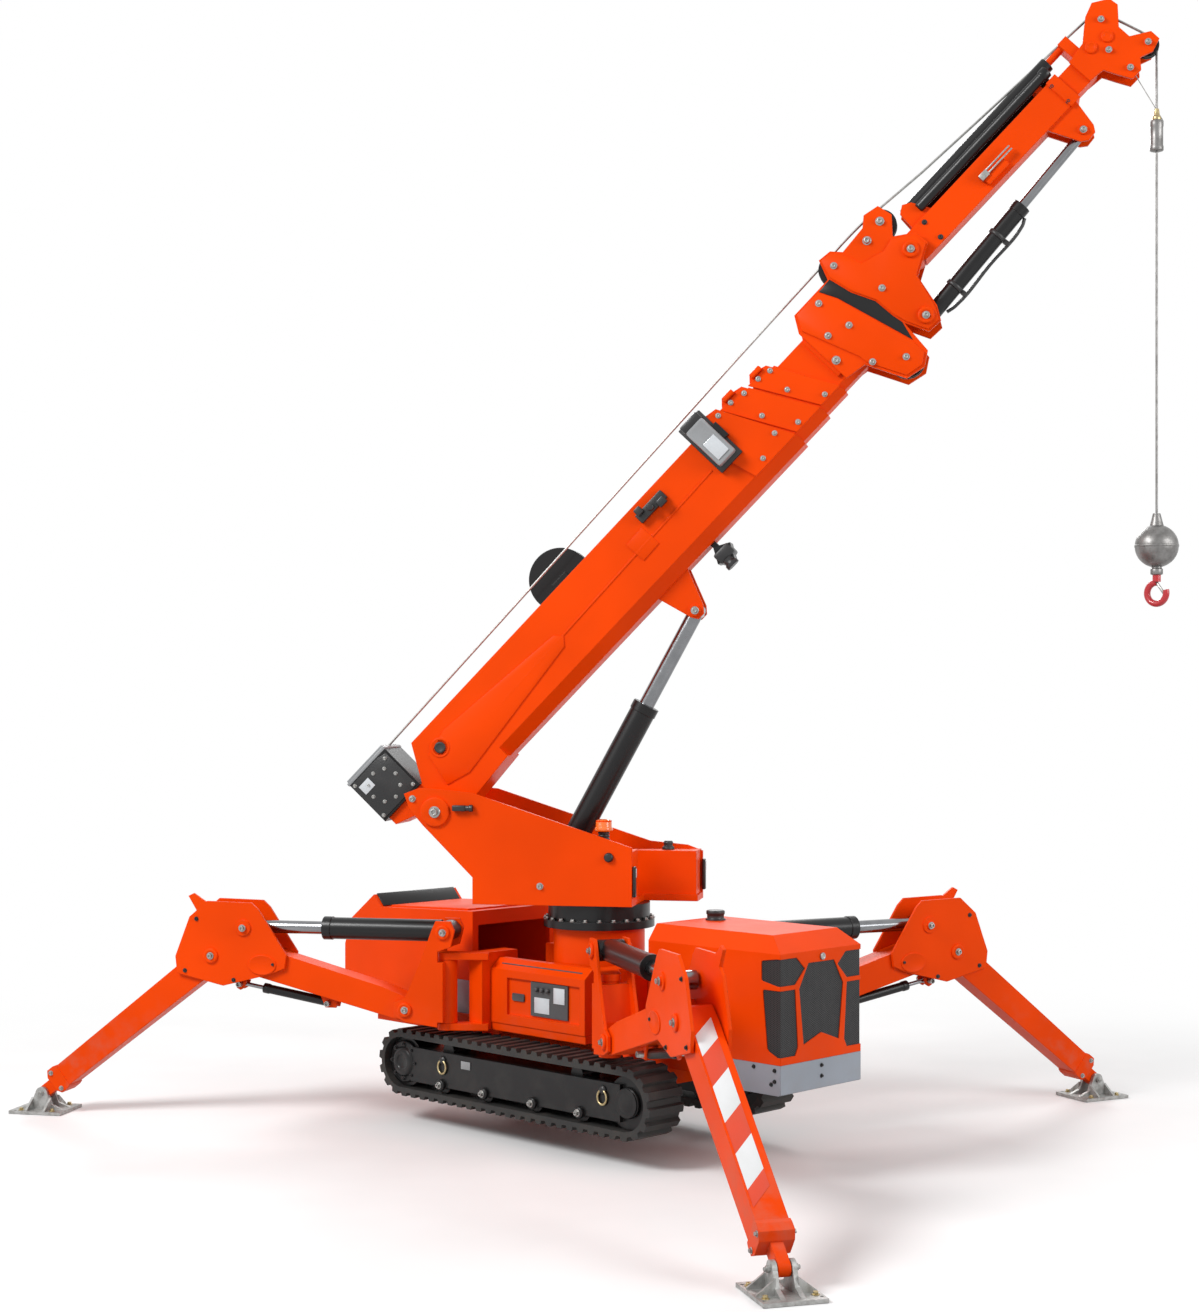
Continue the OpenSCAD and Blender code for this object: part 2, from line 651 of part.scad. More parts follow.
module pad(i) color(steel) on_outrigger(i) translate([pad_reach, 0, pad_pin_z - pad_pin_h]) {
    difference() {
        block([-150, -130, 0], [150, 130, 16]);
        for (x = [-1, 1], y = [-1, 1]) translate([x * bolt_off, y * bolt_off, -1]) cylinder(r = 8, h = 30);
    }
    slab_pair([[-130, 14], [130, 14], [60, 40], [36, pad_pin_h], [-36, pad_pin_h], [-60, 40]], 30, 20);
    for (y = [-1, 1]) cross_bar([0, pad_pin_h], 34, y < 0 ? -50 : 30, y < 0 ? -30 : 50);
    cross_bar([0, pad_pin_h], 15, -62, 62);
    for (x = [-1, 1], turn = [0, 180]) rotate([0, 0, turn]) translate([x * rib_off, 0, 0]) rotate([90, 0, 90])
        translate([0, 0, -rib_t / 2]) linear_extrude(rib_t) polygon([[45, 12], [122, 12], [122, 22], [45, pad_pin_h - 22]]);
}

chassis_frame();
engine_cover();
engine_block();
cover_grilles();
bumper_skirt();
side_boxes();
rear_box();
track_near();
track_far();
track_frames();
slewing_ring();
turret_frame();
beacon();
lift_barrel();
lift_rod();
boom_base();
winch();
cable_reel();
boom_lamps();
boom_section_2();
boom_section_3();
boom_section_4();
boom_head();
head_sheaves();
jib_arm();
jib_barrel();
jib_rod();
jib_slide();
jib_ram();
jib_sheaves();
hoist_fall();
hook();
bracket(0);  // front_near_bracket
arm(0);  // front_near_arm
ram_barrel(0);  // front_near_barrel
ram_rod(0);  // front_near_rod
leg(0);  // front_near_leg
pad(0);  // front_near_pad
bracket(1);  // front_far_bracket
arm(1);  // front_far_arm
ram_barrel(1);  // front_far_barrel
ram_rod(1);  // front_far_rod
leg(1);  // front_far_leg
pad(1);  // front_far_pad
bracket(2);  // rear_near_bracket
arm(2);  // rear_near_arm
ram_barrel(2);  // rear_near_barrel
ram_rod(2);  // rear_near_rod
leg(2);  // rear_near_leg
pad(2);  // rear_near_pad
bracket(3);  // rear_far_bracket
arm(3);  // rear_far_arm
ram_barrel(3);  // rear_far_barrel
ram_rod(3);  // rear_far_rod
leg(3);  // rear_far_leg
pad(3);  // rear_far_pad
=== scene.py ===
# %% [markdown]
# A spider crawler crane, dressed in Blender around its CAD model.
# The CAD nodes are the frame: they are never moved, and each new piece is set down on them in the same metres.

# %% The frame
import bpy
from math import atan2, cos, pi, radians, sin, tau
from mathutils import Matrix, Vector


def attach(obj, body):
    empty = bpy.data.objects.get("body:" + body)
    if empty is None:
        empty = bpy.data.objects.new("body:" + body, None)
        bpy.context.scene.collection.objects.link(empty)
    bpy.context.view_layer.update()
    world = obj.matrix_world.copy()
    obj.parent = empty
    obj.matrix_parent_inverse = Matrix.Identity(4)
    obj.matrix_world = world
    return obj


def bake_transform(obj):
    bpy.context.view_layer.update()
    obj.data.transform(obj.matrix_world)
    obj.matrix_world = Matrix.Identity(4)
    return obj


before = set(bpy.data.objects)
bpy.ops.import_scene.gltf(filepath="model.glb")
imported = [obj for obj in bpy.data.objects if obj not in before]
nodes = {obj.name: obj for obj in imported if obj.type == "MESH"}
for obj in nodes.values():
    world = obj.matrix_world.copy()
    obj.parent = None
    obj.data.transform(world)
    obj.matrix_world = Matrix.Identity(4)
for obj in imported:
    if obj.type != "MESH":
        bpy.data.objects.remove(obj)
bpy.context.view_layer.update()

# %% [markdown]
# The crane stands raised on its pads. Four places carry everything else: the ground, the turret, which is slewed,
# the boom, which is turned up about its foot pin, and each outrigger, which points out from its own swing pin.
# A matrix for each lets a piece be modelled along plain axes first and then set down where it belongs.

# %% Places
LIFT = 0.14
SLEW, BOOM_RISE = radians(34), radians(46)
BOOM_FOOT = Vector((-0.794, 0, 1.519))
plain = Matrix()
on_tracks = Matrix.Translation((0, 0, LIFT))
on_turret = on_tracks @ Matrix.Rotation(SLEW, 4, "Z")
on_boom = on_turret @ Matrix.Translation(BOOM_FOOT) @ Matrix.Rotation(-BOOM_RISE, 4, "Y")
CORNERS = {"front_near": (0.56, -0.49, -29), "front_far": (0.56, 0.49, 72),
           "rear_near": (-0.62, -0.49, -148), "rear_far": (-0.62, 0.49, 148)}
on_outrigger = {corner: on_tracks @ Matrix.Translation((x, y, 0)) @ Matrix.Rotation(radians(heading), 4, "Z")
                for corner, (x, y, heading) in CORNERS.items()}
print("boom head at", [round(v, 2) for v in on_boom @ Vector((3.67, 0, 0.23))])

# %% [markdown]
# The photograph was taken level, from about 11 m away and a little over 2 m above the floor.
# Its verticals stay upright, so the lens is shifted a little upwards instead of tilting the camera.

# %% Camera
PHOTO_H, FOCAL_PX, HORIZON_PX = 1312, 2107.9, 695.5
lens = bpy.data.cameras.new("photo_lens")
lens.sensor_fit = "VERTICAL"
lens.sensor_height = 36
lens.lens = FOCAL_PX / PHOTO_H * lens.sensor_height
lens.shift_y = (HORIZON_PX - PHOTO_H / 2) / PHOTO_H
camera = bpy.data.objects.new("photo_camera", lens)
bpy.context.scene.collection.objects.link(camera)
camera.location = (7.649, -7.695, 2.251)
camera.rotation_euler = (radians(90), 0, radians(44.82))
bpy.context.scene.camera = camera
print("lens", round(lens.lens, 2), "mm, shift", round(lens.shift_y, 4))

# %% [markdown]
# The stage is a pale floor under soft light. A wide key lamp stands over the photographer's left shoulder, a weaker
# one fills from the right, a third lights the edges from behind, and the world gives the rest. Camera and mirror
# rays see plain white, so the background is white without any more light falling on the crane.

# %% Stage
scene = bpy.context.scene
scene.view_settings.view_transform = "Standard"


def deselect():
    if bpy.context.object and bpy.context.object.mode != "OBJECT":
        bpy.ops.object.mode_set(mode="OBJECT")
    bpy.ops.object.select_all(action="DESELECT")


def soft_lamp(name, place, target, size, watts):
    light = bpy.data.lights.new(name, "AREA")
    light.shape, light.size, light.energy = "DISK", size, watts
    lamp = bpy.data.objects.new(name, light)
    scene.collection.objects.link(lamp)
    lamp.location = place
    lamp.rotation_euler = (Vector(target) - Vector(place)).to_track_quat("-Z", "Y").to_euler()


soft_lamp("key_lamp", (-1.5, -9.5, 9.0), (0, 0, 1.8), 4.5, 1060)
soft_lamp("fill_lamp", (9.5, 2.0, 5.0), (0, 0, 1.5), 5.0, 350)
soft_lamp("back_lamp", (-6.0, 7.0, 8.0), (0, 0, 2.0), 4.0, 420)

deselect()
bpy.ops.mesh.primitive_circle_add(vertices=64, radius=60, fill_type="NGON", location=(0, 0, -0.002))
floor = bpy.context.object
floor.name = "floor"
print("stage set, floor", floor.name)

# %% [markdown]
# Shader maths reads best as plain sums. A Wire stands for one output socket; adding or multiplying wires adds the
# Math nodes, and its node method makes any other node from a type, its settings and its sockets.

# %% Wires


class Wire:
    def __init__(self, tree, socket):
        self.tree, self.socket = tree, socket

    def node(self, kind, settings=None, sockets=None, out=0):
        made = self.tree.nodes.new("ShaderNode" + kind)
        for name, value in (settings or {}).items():
            setattr(made, name, value)
        for key, value in (sockets or {}).items():
            if isinstance(value, Wire):
                self.tree.links.new(value.socket, made.inputs[key])
            else:
                made.inputs[key].default_value = value
        return Wire(self.tree, made.outputs[out])

    def math(self, operation, *values, clamp=False):
        return self.node("Math", {"operation": operation, "use_clamp": clamp}, dict(enumerate(values)))

    def __add__(self, other): return self.math("ADD", self, other)
    def __sub__(self, other): return self.math("SUBTRACT", self, other)
    def __rsub__(self, other): return self.math("SUBTRACT", other, self)
    def __mul__(self, other): return self.math("MULTIPLY", self, other)
    def __truediv__(self, other): return self.math("DIVIDE", self, other)
    def __lt__(self, other): return self.math("LESS_THAN", self, other)
    __radd__, __rmul__ = __add__, __mul__

    def clamped(self): return self.math("ADD", self, 0.0, clamp=True)

    def noise(self, scale, detail=3.0, roughness=0.55):
        return self.node("TexNoise", {}, {"Vector": self, "Scale": scale, "Detail": detail, "Roughness": roughness})

    def fade(self, low, high):
        """0 below low, 1 above high, smooth between."""
        return self.node("MapRange", {"interpolation_type": "SMOOTHSTEP"}, {0: self, 1: low, 2: high}, out=0)

    def tint(self, first, second):
        """The wire as a mask between two colours."""
        return self.node("Mix", {"data_type": "RGBA"}, {0: self, 6: first, 7: second}, out=2)

    def part(self, axis):
        return self.node("SeparateXYZ", {}, {0: self}, out=axis)


def finish(name, recipe, **fixed):
    """A Principled material: recipe(place) gives the sockets that change over the surface, fixed the plain ones."""
    material = bpy.data.materials.new(name)
    material.use_nodes = True
    tree = material.node_tree
    shader = tree.nodes["Principled BSDF"]
    for socket, value in fixed.items():
        shader.inputs[socket.replace("_", " ")].default_value = value
    place = Wire(tree, tree.nodes.new("ShaderNodeTexCoord").outputs["Object"])
    for socket, wire in recipe(place).items():
        tree.links.new(wire.socket, shader.inputs[socket])
    return material


print("wires ready")

# %% [markdown]
# The floor and the world come first. The floor's own grey shows only where the crane's shadow falls, because the
# camera sees the floor mixed towards white away from it. Light that bounces up meets a darker floor, so that the
# undersides stay in shade.

# %% Backdrop
NEAR_FLOOR, FAR_FLOOR = 3.0, 6.5
BOUNCE = (0.45, 0.45, 0.45, 1)


def seen_plainly(wire):
    """1 for what the camera, a mirror or a glass looks at, 0 for light on its way to the crane."""
    rays = [wire.node("LightPath", out=f"Is {kind} Ray") for kind in ("Camera", "Glossy", "Transmission")]
    return (rays[0] + rays[1] + rays[2]).clamped()


def pale_floor(place):
    away = place.node("VectorMath", {"operation": "LENGTH"}, {0: place}, out="Value").fade(NEAR_FLOOR, FAR_FLOOR)
    white = away * seen_plainly(place)
    grain = place.noise(0.7).fade(0.3, 0.7).tint((0.86, 0.86, 0.86, 1), (0.90, 0.90, 0.90, 1))
    grain = seen_plainly(place).tint(BOUNCE, grain)
    return {"Base Color": white.tint(grain, (0, 0, 0, 1)), "Emission Color": white.tint((0, 0, 0, 1), (1, 1, 1, 1))}


floor.data.materials.append(finish("floor_pale", pale_floor, Roughness=1, Specular_IOR_Level=0, Emission_Strength=1))
SKY = 0.5
world = bpy.data.worlds.new("studio")
scene.world = world
world.use_nodes = True
sky = Wire(world.node_tree, None)
sky.tree.links.new((SKY + seen_plainly(sky) * (1 - SKY)).socket, world.node_tree.nodes["Background"].inputs["Strength"])
world.node_tree.nodes["Background"].inputs["Color"].default_value = (1, 1, 1, 1)
print("world strength", SKY, "on the crane, 1 behind it")

# %% [markdown]
# Sprayed paint is never one flat colour. It has a fine orange peel that breaks up reflections, a slow drift of tone
# where coats overlap, a little dust low down, and chips where the edges have been rubbed; a painted highlight also
# lightens every edge. The Bevel node finds the edges by looking at the surface close by, so it works on the CAD nodes'
# loose triangles too.

# %% Paints


def edges(place, radius):
    """A mask of the sharp edges, and the normal rounded over them."""
    rounded = place.node("Bevel", {"samples": 4}, {"Radius": radius})
    flat = place.node("NewGeometry", out="Normal")
    turn = place.node("VectorMath", {"operation": "DOT_PRODUCT"}, {0: rounded, 1: flat}, out="Value")
    return (1 - turn).fade(0.02, 0.25), rounded


def painted(colour, worn, rough=0.34, dust=(0.30, 0.25, 0.20, 1), grime=0.25):
    shade = tuple(c * 0.86 for c in colour[:3]) + (1,)

    def recipe(place):
        edge, rounded = edges(place, 0.006)
        chips = place.noise(70, 4).fade(0.56, 0.66) * edge
        drift = place.noise(1.7, 2).fade(0.3, 0.75)
        low = (1 - place.part(2).fade(0.1, 0.75)) * place.noise(9, 5).fade(0.42, 0.72) * grime
        speck = place.noise(260, 2).fade(0.70, 0.78) * 0.25
        film = drift.tint(shade, colour)
        # Painted highlight: every edge is made a fifth lighter than the paint, whatever the light.
        film = (edge * 0.22).tint(film, tuple(min(1, c * 1.2 + 0.006) for c in colour[:3]) + (1,))
        film = (low + speck * grime).clamped().tint(film, dust)
        film = (chips * 0.8).tint(film, worn)
        peel = place.noise(420, 2)
        bump = place.node("Bump", {}, {"Strength": 0.06, "Distance": 0.002, "Height": peel, "Normal": rounded})
        return {"Base Color": film, "Roughness": rough + low * 0.5 + place.noise(5, 3) * 0.10 + chips * 0.2,
                "Normal": bump}
    return recipe


ORANGE = (0.95, 0.067, 0.0, 1)
orange_paint = finish("orange_paint", painted(ORANGE, (0.30, 0.06, 0.02, 1)), Specular_IOR_Level=0.08,
                      Coat_Weight=0.03, Coat_Roughness=0.12)
black_paint = finish("black_paint", painted((0.006, 0.006, 0.0065, 1), (0.07, 0.07, 0.07, 1), 0.28,
                                            (0.06, 0.056, 0.05, 1)), Specular_IOR_Level=0.3, Coat_Weight=0.08)
grey_paint = finish("grey_paint", painted((0.33, 0.365, 0.42, 1), (0.12, 0.12, 0.13, 1), 0.42), Coat_Weight=0.15)
red_paint = finish("red_paint", painted((0.52, 0.012, 0.02, 1), (0.25, 0.22, 0.2, 1), 0.3, grime=0), Coat_Weight=0.4)
print("paints:", [m.name for m in bpy.data.materials if m.name.endswith("_paint")])

# %% [markdown]
# The metals: hard chrome on the rods, zinc-plated bolts, grey castings for the pads, dull steel for the ball and
# the stop weight, and the brass of its neck. Metal shows its surroundings, so roughness does most of the work.

# %% Metals


def metal(colour, dark, rough, scale, bumpiness):
    def recipe(place):
        cloud = place.noise(scale, 5)
        spots = place.noise(scale * 4.3, 3).fade(0.58, 0.72)
        bump = place.node("Bump", {}, {"Strength": bumpiness, "Distance": 0.002, "Height": cloud})
        return {"Base Color": (cloud.fade(0.35, 0.7) * 0.7 + spots * 0.3).clamped().tint(colour, dark),
                "Roughness": rough + cloud * 0.16 + spots * 0.12, "Normal": bump}
    return recipe


chrome_rod = finish("chrome_rod", metal((0.25, 0.255, 0.265, 1), (0.19, 0.195, 0.205, 1), 0.10, 12, 0.0), Metallic=1)
bolt_zinc = finish("bolt_zinc", metal((0.40, 0.40, 0.39, 1), (0.24, 0.23, 0.21, 1), 0.30, 90, 0.05), Metallic=1)
cast_pad = finish("cast_pad", metal((0.46, 0.46, 0.45, 1), (0.25, 0.245, 0.23, 1), 0.42, 34, 0.35), Metallic=0.75)
ball_steel = finish("ball_steel", metal((0.25, 0.245, 0.24, 1), (0.13, 0.125, 0.12, 1), 0.34, 22, 0.18), Metallic=0.9)
brass = finish("brass", metal((0.52, 0.43, 0.24, 1), (0.26, 0.20, 0.10, 1), 0.28, 55, 0.1), Metallic=1)
print("metals:", chrome_rod.name, bolt_zinc.name, cast_pad.name, ball_steel.name, brass.name)

# %% [markdown]
# Rubber, plastic, glass and the grille's punched sheet are the rest. The holes of the sheet lie on a staggered grid:
# two square grids of dots, one shifted by half a step, make it without any picture.

# %% Rubber, plastic, glass and punched sheet


def rubbery(colour, dust, rough, amount):
    def recipe(place):
        worn = place.noise(6, 6).fade(0.40, 0.75)
        fine = place.noise(130, 3)
        bump = place.node("Bump", {}, {"Strength": 0.25, "Distance": 0.003, "Height": fine + worn})
        return {"Base Color": (worn * amount + fine.fade(0.5, 0.8) * 0.12).clamped().tint(colour, dust),
                "Roughness": rough + worn * 0.15, "Normal": bump}
    return recipe


HOLE_STEP, ROW_STEP = 0.017, 0.017 * 0.58
ROW_SQUEEZE, HOLE_SIZE = 0.34, 0.052


def punched(place):
    across, up = place.part(1) + place.part(0), place.part(2)

    def dots(shift):
        u, v = across / HOLE_STEP + shift, up / ROW_STEP + shift
        u, v = u.math("FRACT", u) - 0.5, v.math("FRACT", v) - 0.5
        return (u * u + v * v * ROW_SQUEEZE) < HOLE_SIZE
    hole = (dots(0.0) + dots(0.5)).clamped()
    sheen = place.noise(14, 3)
    bump = place.node("Bump", {"invert": True}, {"Strength": 0.5, "Distance": 0.003, "Height": hole})
    return {"Base Color": hole.tint((0.028, 0.028, 0.030, 1), (0.002, 0.002, 0.002, 1)),
            "Roughness": 0.38 + sheen * 0.2 + hole * 0.3, "Normal": bump}


track_rubber = finish("track_rubber", rubbery((0.016, 0.0155, 0.015, 1), (0.060, 0.053, 0.045, 1), 0.62, 0.6))
hose_rubber = finish("hose_rubber", rubbery((0.010, 0.010, 0.011, 1), (0.035, 0.034, 0.032, 1), 0.45, 0.4))
black_plastic = finish("black_plastic", rubbery((0.012, 0.012, 0.013, 1), (0.040, 0.039, 0.037, 1), 0.35, 0.4))
grey_plastic = finish("grey_plastic", rubbery((0.30, 0.31, 0.32, 1), (0.22, 0.22, 0.22, 1), 0.35, 0.5))
panel_grey = finish("panel_grey", rubbery((0.060, 0.061, 0.064, 1), (0.085, 0.084, 0.080, 1), 0.45, 0.4))
white_tape = finish("white_tape", rubbery((0.78, 0.79, 0.80, 1), (0.62, 0.62, 0.60, 1), 0.30, 0.3))
red_tape = finish("red_tape", rubbery((0.72, 0.060, 0.020, 1), (0.55, 0.07, 0.03, 1), 0.30, 0.3))
amber_lens = finish("amber_lens", rubbery((0.95, 0.18, 0.012, 1), (0.80, 0.13, 0.01, 1), 0.18, 0.4), Coat_Weight=0.6)
lamp_lens = finish("lamp_lens", rubbery((0.62, 0.65, 0.68, 1), (0.45, 0.47, 0.50, 1), 0.10, 0.5), Coat_Weight=0.8)
grille_mesh = finish("grille_mesh", punched)
engine_matt = finish("engine_matt", rubbery((0.020, 0.020, 0.021, 1), (0.05, 0.045, 0.04, 1), 0.6, 0.6))
print("finishes in all:", len(bpy.data.materials))

# %% [markdown]
# Every CAD node that shows gets one of these finishes in place of its plain colour. New pieces will name only their
# finish, so a table says which of the model's own material slots each finish belongs to.

# %% Dressing the CAD nodes
NODE_FINISH = {
    black_paint: ["track_frames", "slewing_ring", "lift_barrel", "winch", "cable_reel", "boom_lamps", "head_sheaves",
                  "jib_barrel", "jib_ram", "jib_sheaves"],
    grey_paint: ["bumper_skirt"], grille_mesh: ["cover_grilles"], engine_matt: ["engine_block"],
    track_rubber: ["track_near", "track_far"], chrome_rod: ["lift_rod", "jib_rod"], ball_steel: ["hoist_fall"],
    red_paint: ["hook"]}
finish_of = {name: material for material, names in NODE_FINISH.items() for name in names}
for name, node in nodes.items():
    material = finish_of.get(name, orange_paint)
    if name.endswith("_barrel"):
        material = black_paint
    elif name.endswith("_rod"):
        material = chrome_rod
    elif name.endswith("_pad"):
        material = cast_pad
    node.data.materials.clear()
    node.data.materials.append(material)
print("dressed", len(nodes), "nodes")

# %% [markdown]
# New pieces are modelled as by hand: a primitive, a few edit-mode operators, a soft rim on every edge. These helpers
# hold the moves that come back: a plate cut to an outline, a turned piece, a bent tube, and copies set down in rows.

# %% Workshop helpers


def use(piece):
    deselect()
    piece.select_set(True)
    bpy.context.view_layer.objects.active = piece
    return piece


def fresh(kind, **size):
    """A new primitive with its place and scale already in its mesh."""
    deselect()
    getattr(bpy.ops.mesh, f"primitive_{kind}_add")(**size)
    bpy.ops.object.transform_apply(location=True, rotation=True, scale=True)
    return bpy.context.object


def pick(piece, test):
    """Edit mode, with only those faces selected whose middle and normal pass the test."""
    use(piece)
    bpy.ops.object.mode_set(mode="EDIT")
    bpy.ops.mesh.select_mode(type="FACE")
    bpy.ops.mesh.select_all(action="DESELECT")
    bpy.ops.object.mode_set(mode="OBJECT")
    for face in piece.data.polygons:
        face.select = bool(test(face.center, face.normal))
    bpy.ops.object.mode_set(mode="EDIT")


def rim(piece, width, segments=2):
    """Soft edges: a Bevel modifier, applied, and smooth shading that stops at corners."""
    use(piece)
    soft = piece.modifiers.new("rim", "BEVEL")
    soft.width, soft.segments, soft.limit_method, soft.angle_limit = width, segments, "ANGLE", radians(30)
    bpy.ops.object.modifier_apply(modifier=soft.name)
    bpy.ops.object.shade_smooth_by_angle(angle=radians(40))
    return piece


def plate(outline, thick, soft=0.0015):
    """A flat plate: an outline in X and Z on y = 0, thick towards -Y."""
    piece = fresh("circle", vertices=len(outline), radius=1, fill_type="NGON")
    for corner, (x, z) in zip(piece.data.vertices, outline):
        corner.co = (x, 0, z)
    pick(piece, lambda middle, normal: True)
    bpy.ops.mesh.extrude_region_move(TRANSFORM_OT_translate={"value": (0, -thick, 0)})
    bpy.ops.mesh.select_all(action="SELECT")
    bpy.ops.mesh.normals_make_consistent(inside=False)
    bpy.ops.object.mode_set(mode="OBJECT")
    return rim(piece, soft)


def turned(stations, sides=24, soft=0.0008):
    """A turned piece up the Z axis: (height, radius) stations, each one an extrusion of the last disc."""
    height, radius = stations[0]
    piece = fresh("circle", vertices=sides, radius=radius, fill_type="NGON", location=(0, 0, height))
    pick(piece, lambda middle, normal: True)
    for next_height, next_radius in stations[1:]:
        bpy.ops.mesh.extrude_region_move(TRANSFORM_OT_translate={"value": (0, 0, next_height - height)})
        scale = next_radius / radius
        bpy.ops.transform.resize(value=(scale, scale, 1), center_override=(0, 0, next_height))
        height, radius = next_height, next_radius
    bpy.ops.mesh.select_all(action="SELECT")
    bpy.ops.mesh.normals_make_consistent(inside=False)
    bpy.ops.object.mode_set(mode="OBJECT")
    return rim(piece, soft, 1)


def chest(low, high, soft=0.004, inset=0.0, sink=0.0):
    """A box between two corners with soft edges; its -Y face can carry a sunk panel."""
    low, high = Vector(low), Vector(high)
    piece = fresh("cube", size=1, location=(low + high) / 2, scale=high - low)
    if inset:
        pick(piece, lambda middle, normal: normal.y < -0.9)
        bpy.ops.mesh.inset(thickness=inset)
        bpy.ops.transform.translate(value=(0, sink, 0))
        bpy.ops.object.mode_set(mode="OBJECT")
    return rim(piece, soft)


def tube(points, radius, rings=6, sides=2):
    """A bent tube through points, swept from a curve and made a mesh."""
    deselect()
    bpy.ops.curve.primitive_bezier_curve_add()
    line = bpy.context.object
    knots = line.data.splines[0].bezier_points
    knots.add(len(points) - len(knots))
    for knot, point in zip(knots, points):
        knot.co = point
        knot.handle_left_type = knot.handle_right_type = "AUTO"
    line.data.bevel_depth, line.data.bevel_resolution, line.data.resolution_u = radius, sides, rings
    line.data.use_fill_caps = True
    bpy.ops.object.convert(target="MESH")
    bpy.ops.object.transform_apply(location=True, rotation=True, scale=True)
    bpy.ops.object.shade_smooth_by_angle(angle=radians(50))
    return bpy.context.object


def hoop(major, minor, segments, stretch):
    """A smooth ring round the Z axis, stretched a little along its axes."""
    piece = fresh("torus", major_radius=major, minor_radius=minor, major_segments=segments, minor_segments=8)
    pick(piece, lambda middle, normal: True)
    bpy.ops.mesh.faces_shade_smooth()
    bpy.ops.transform.resize(value=stretch, center_override=(0, 0, 0))
    bpy.ops.object.mode_set(mode="OBJECT")
    return piece


def join(pieces):
    use(pieces[0])
    for piece in pieces:
        piece.select_set(True)
    bpy.ops.object.join()
    return bpy.context.object


QUARTER = pi / 2
OUTWARDS = {"Z": plain, "-Z": Matrix.Rotation(pi, 4, "X"), "Y": Matrix.Rotation(-QUARTER, 4, "X"),
            "-Y": Matrix.Rotation(QUARTER, 4, "X"), "X": Matrix.Rotation(QUARTER, 4, "Y")}
SIDES = (("near", -1, "-Y"), ("far", 1, "Y"))


def spot(place, point, out="-Y"):
    """A matrix that stands a turned piece on a point, with its top facing out."""
    return place @ Matrix.Translation(point) @ OUTWARDS[out]


def both_sides(place, points, y):
    """Spots on the near and far faces of a pair of plates."""
    return [spot(place, (x, side * y, z), out) for x, z in points for _, side, out in SIDES]


def scatter(model, places):
    """Copies of one model, each with its own mesh, set down and joined."""
    copies = []
    for place in places:
        copy = model.copy()
        copy.data = model.data.copy()
        copy.data.transform(place)
        scene.collection.objects.link(copy)
        copies.append(copy)
    bpy.data.objects.remove(model)
    return join(copies)


def both_faces(parts, y):
    """Plates on the near face, and the same mirrored on the far face."""
    for part in list(parts):
        twin = part.copy()
        twin.data = part.data.copy()
        scene.collection.objects.link(twin)
        twin.data.transform(Matrix.Translation((0, y, 0)) @ Matrix.Diagonal((1, -1, 1, 1)))
        twin.data.flip_normals()
        part.data.transform(Matrix.Translation((0, -y, 0)))
        parts.append(twin)
    return join(parts)


def set_down(piece, place):
    piece.data.transform(place)
    return piece


def stood(stations, place, point, out="-Y", sides=24):
    """A turned piece stood on a point."""
    return set_down(turned(stations, sides), spot(place, point, out))


def chests(soft, *boxes):
    """Several soft-edged boxes as one piece."""
    return join([chest(low, high, soft) for low, high in boxes])


made = []


def named(piece, name, material):
    """Name a finished piece, give it its finish and the slot that goes with it."""
    piece.name = name
    piece.data.materials.clear()
    piece.data.materials.append(material)
    made.append(name)
    return piece


def dress(piece, name, body, material):
    """A named piece that rides on one body."""
    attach(named(piece, name, material), body)


def bolt(radius):
    """A hexagon head with a deep socket, on a washer."""
    head = fresh("cylinder", vertices=6, radius=radius, depth=radius, location=(0, 0, radius * 0.75))
    pick(head, lambda middle, normal: normal.z > 0.9)
    bpy.ops.mesh.inset(thickness=radius * 0.4)
    bpy.ops.mesh.extrude_region_move(TRANSFORM_OT_translate={"value": (0, 0, -radius * 0.6)})
    bpy.ops.object.mode_set(mode="OBJECT")
    washer = turned([(0, radius * 1.5), (radius * 0.28, radius * 1.5)], 16, radius * 0.08)
    return join([rim(head, radius * 0.08), washer])


def pin_cap(radius, height):
    """The flanged end of a hinge pin, dished in the middle."""
    return turned([(0, radius), (height * 0.7, radius), (height, radius * 0.88), (height, radius * 0.62),
                   (height * 0.8, radius * 0.55)], 28, radius * 0.03)


print("helpers ready")

# %% [markdown]
# Each outrigger shows its pins: a flanged cap painted like the plates, with a zinc bolt in the middle. The same cap
# is modelled once per size and copied to every pin, on both sides. Raised ovals and the bolts of the pads follow.

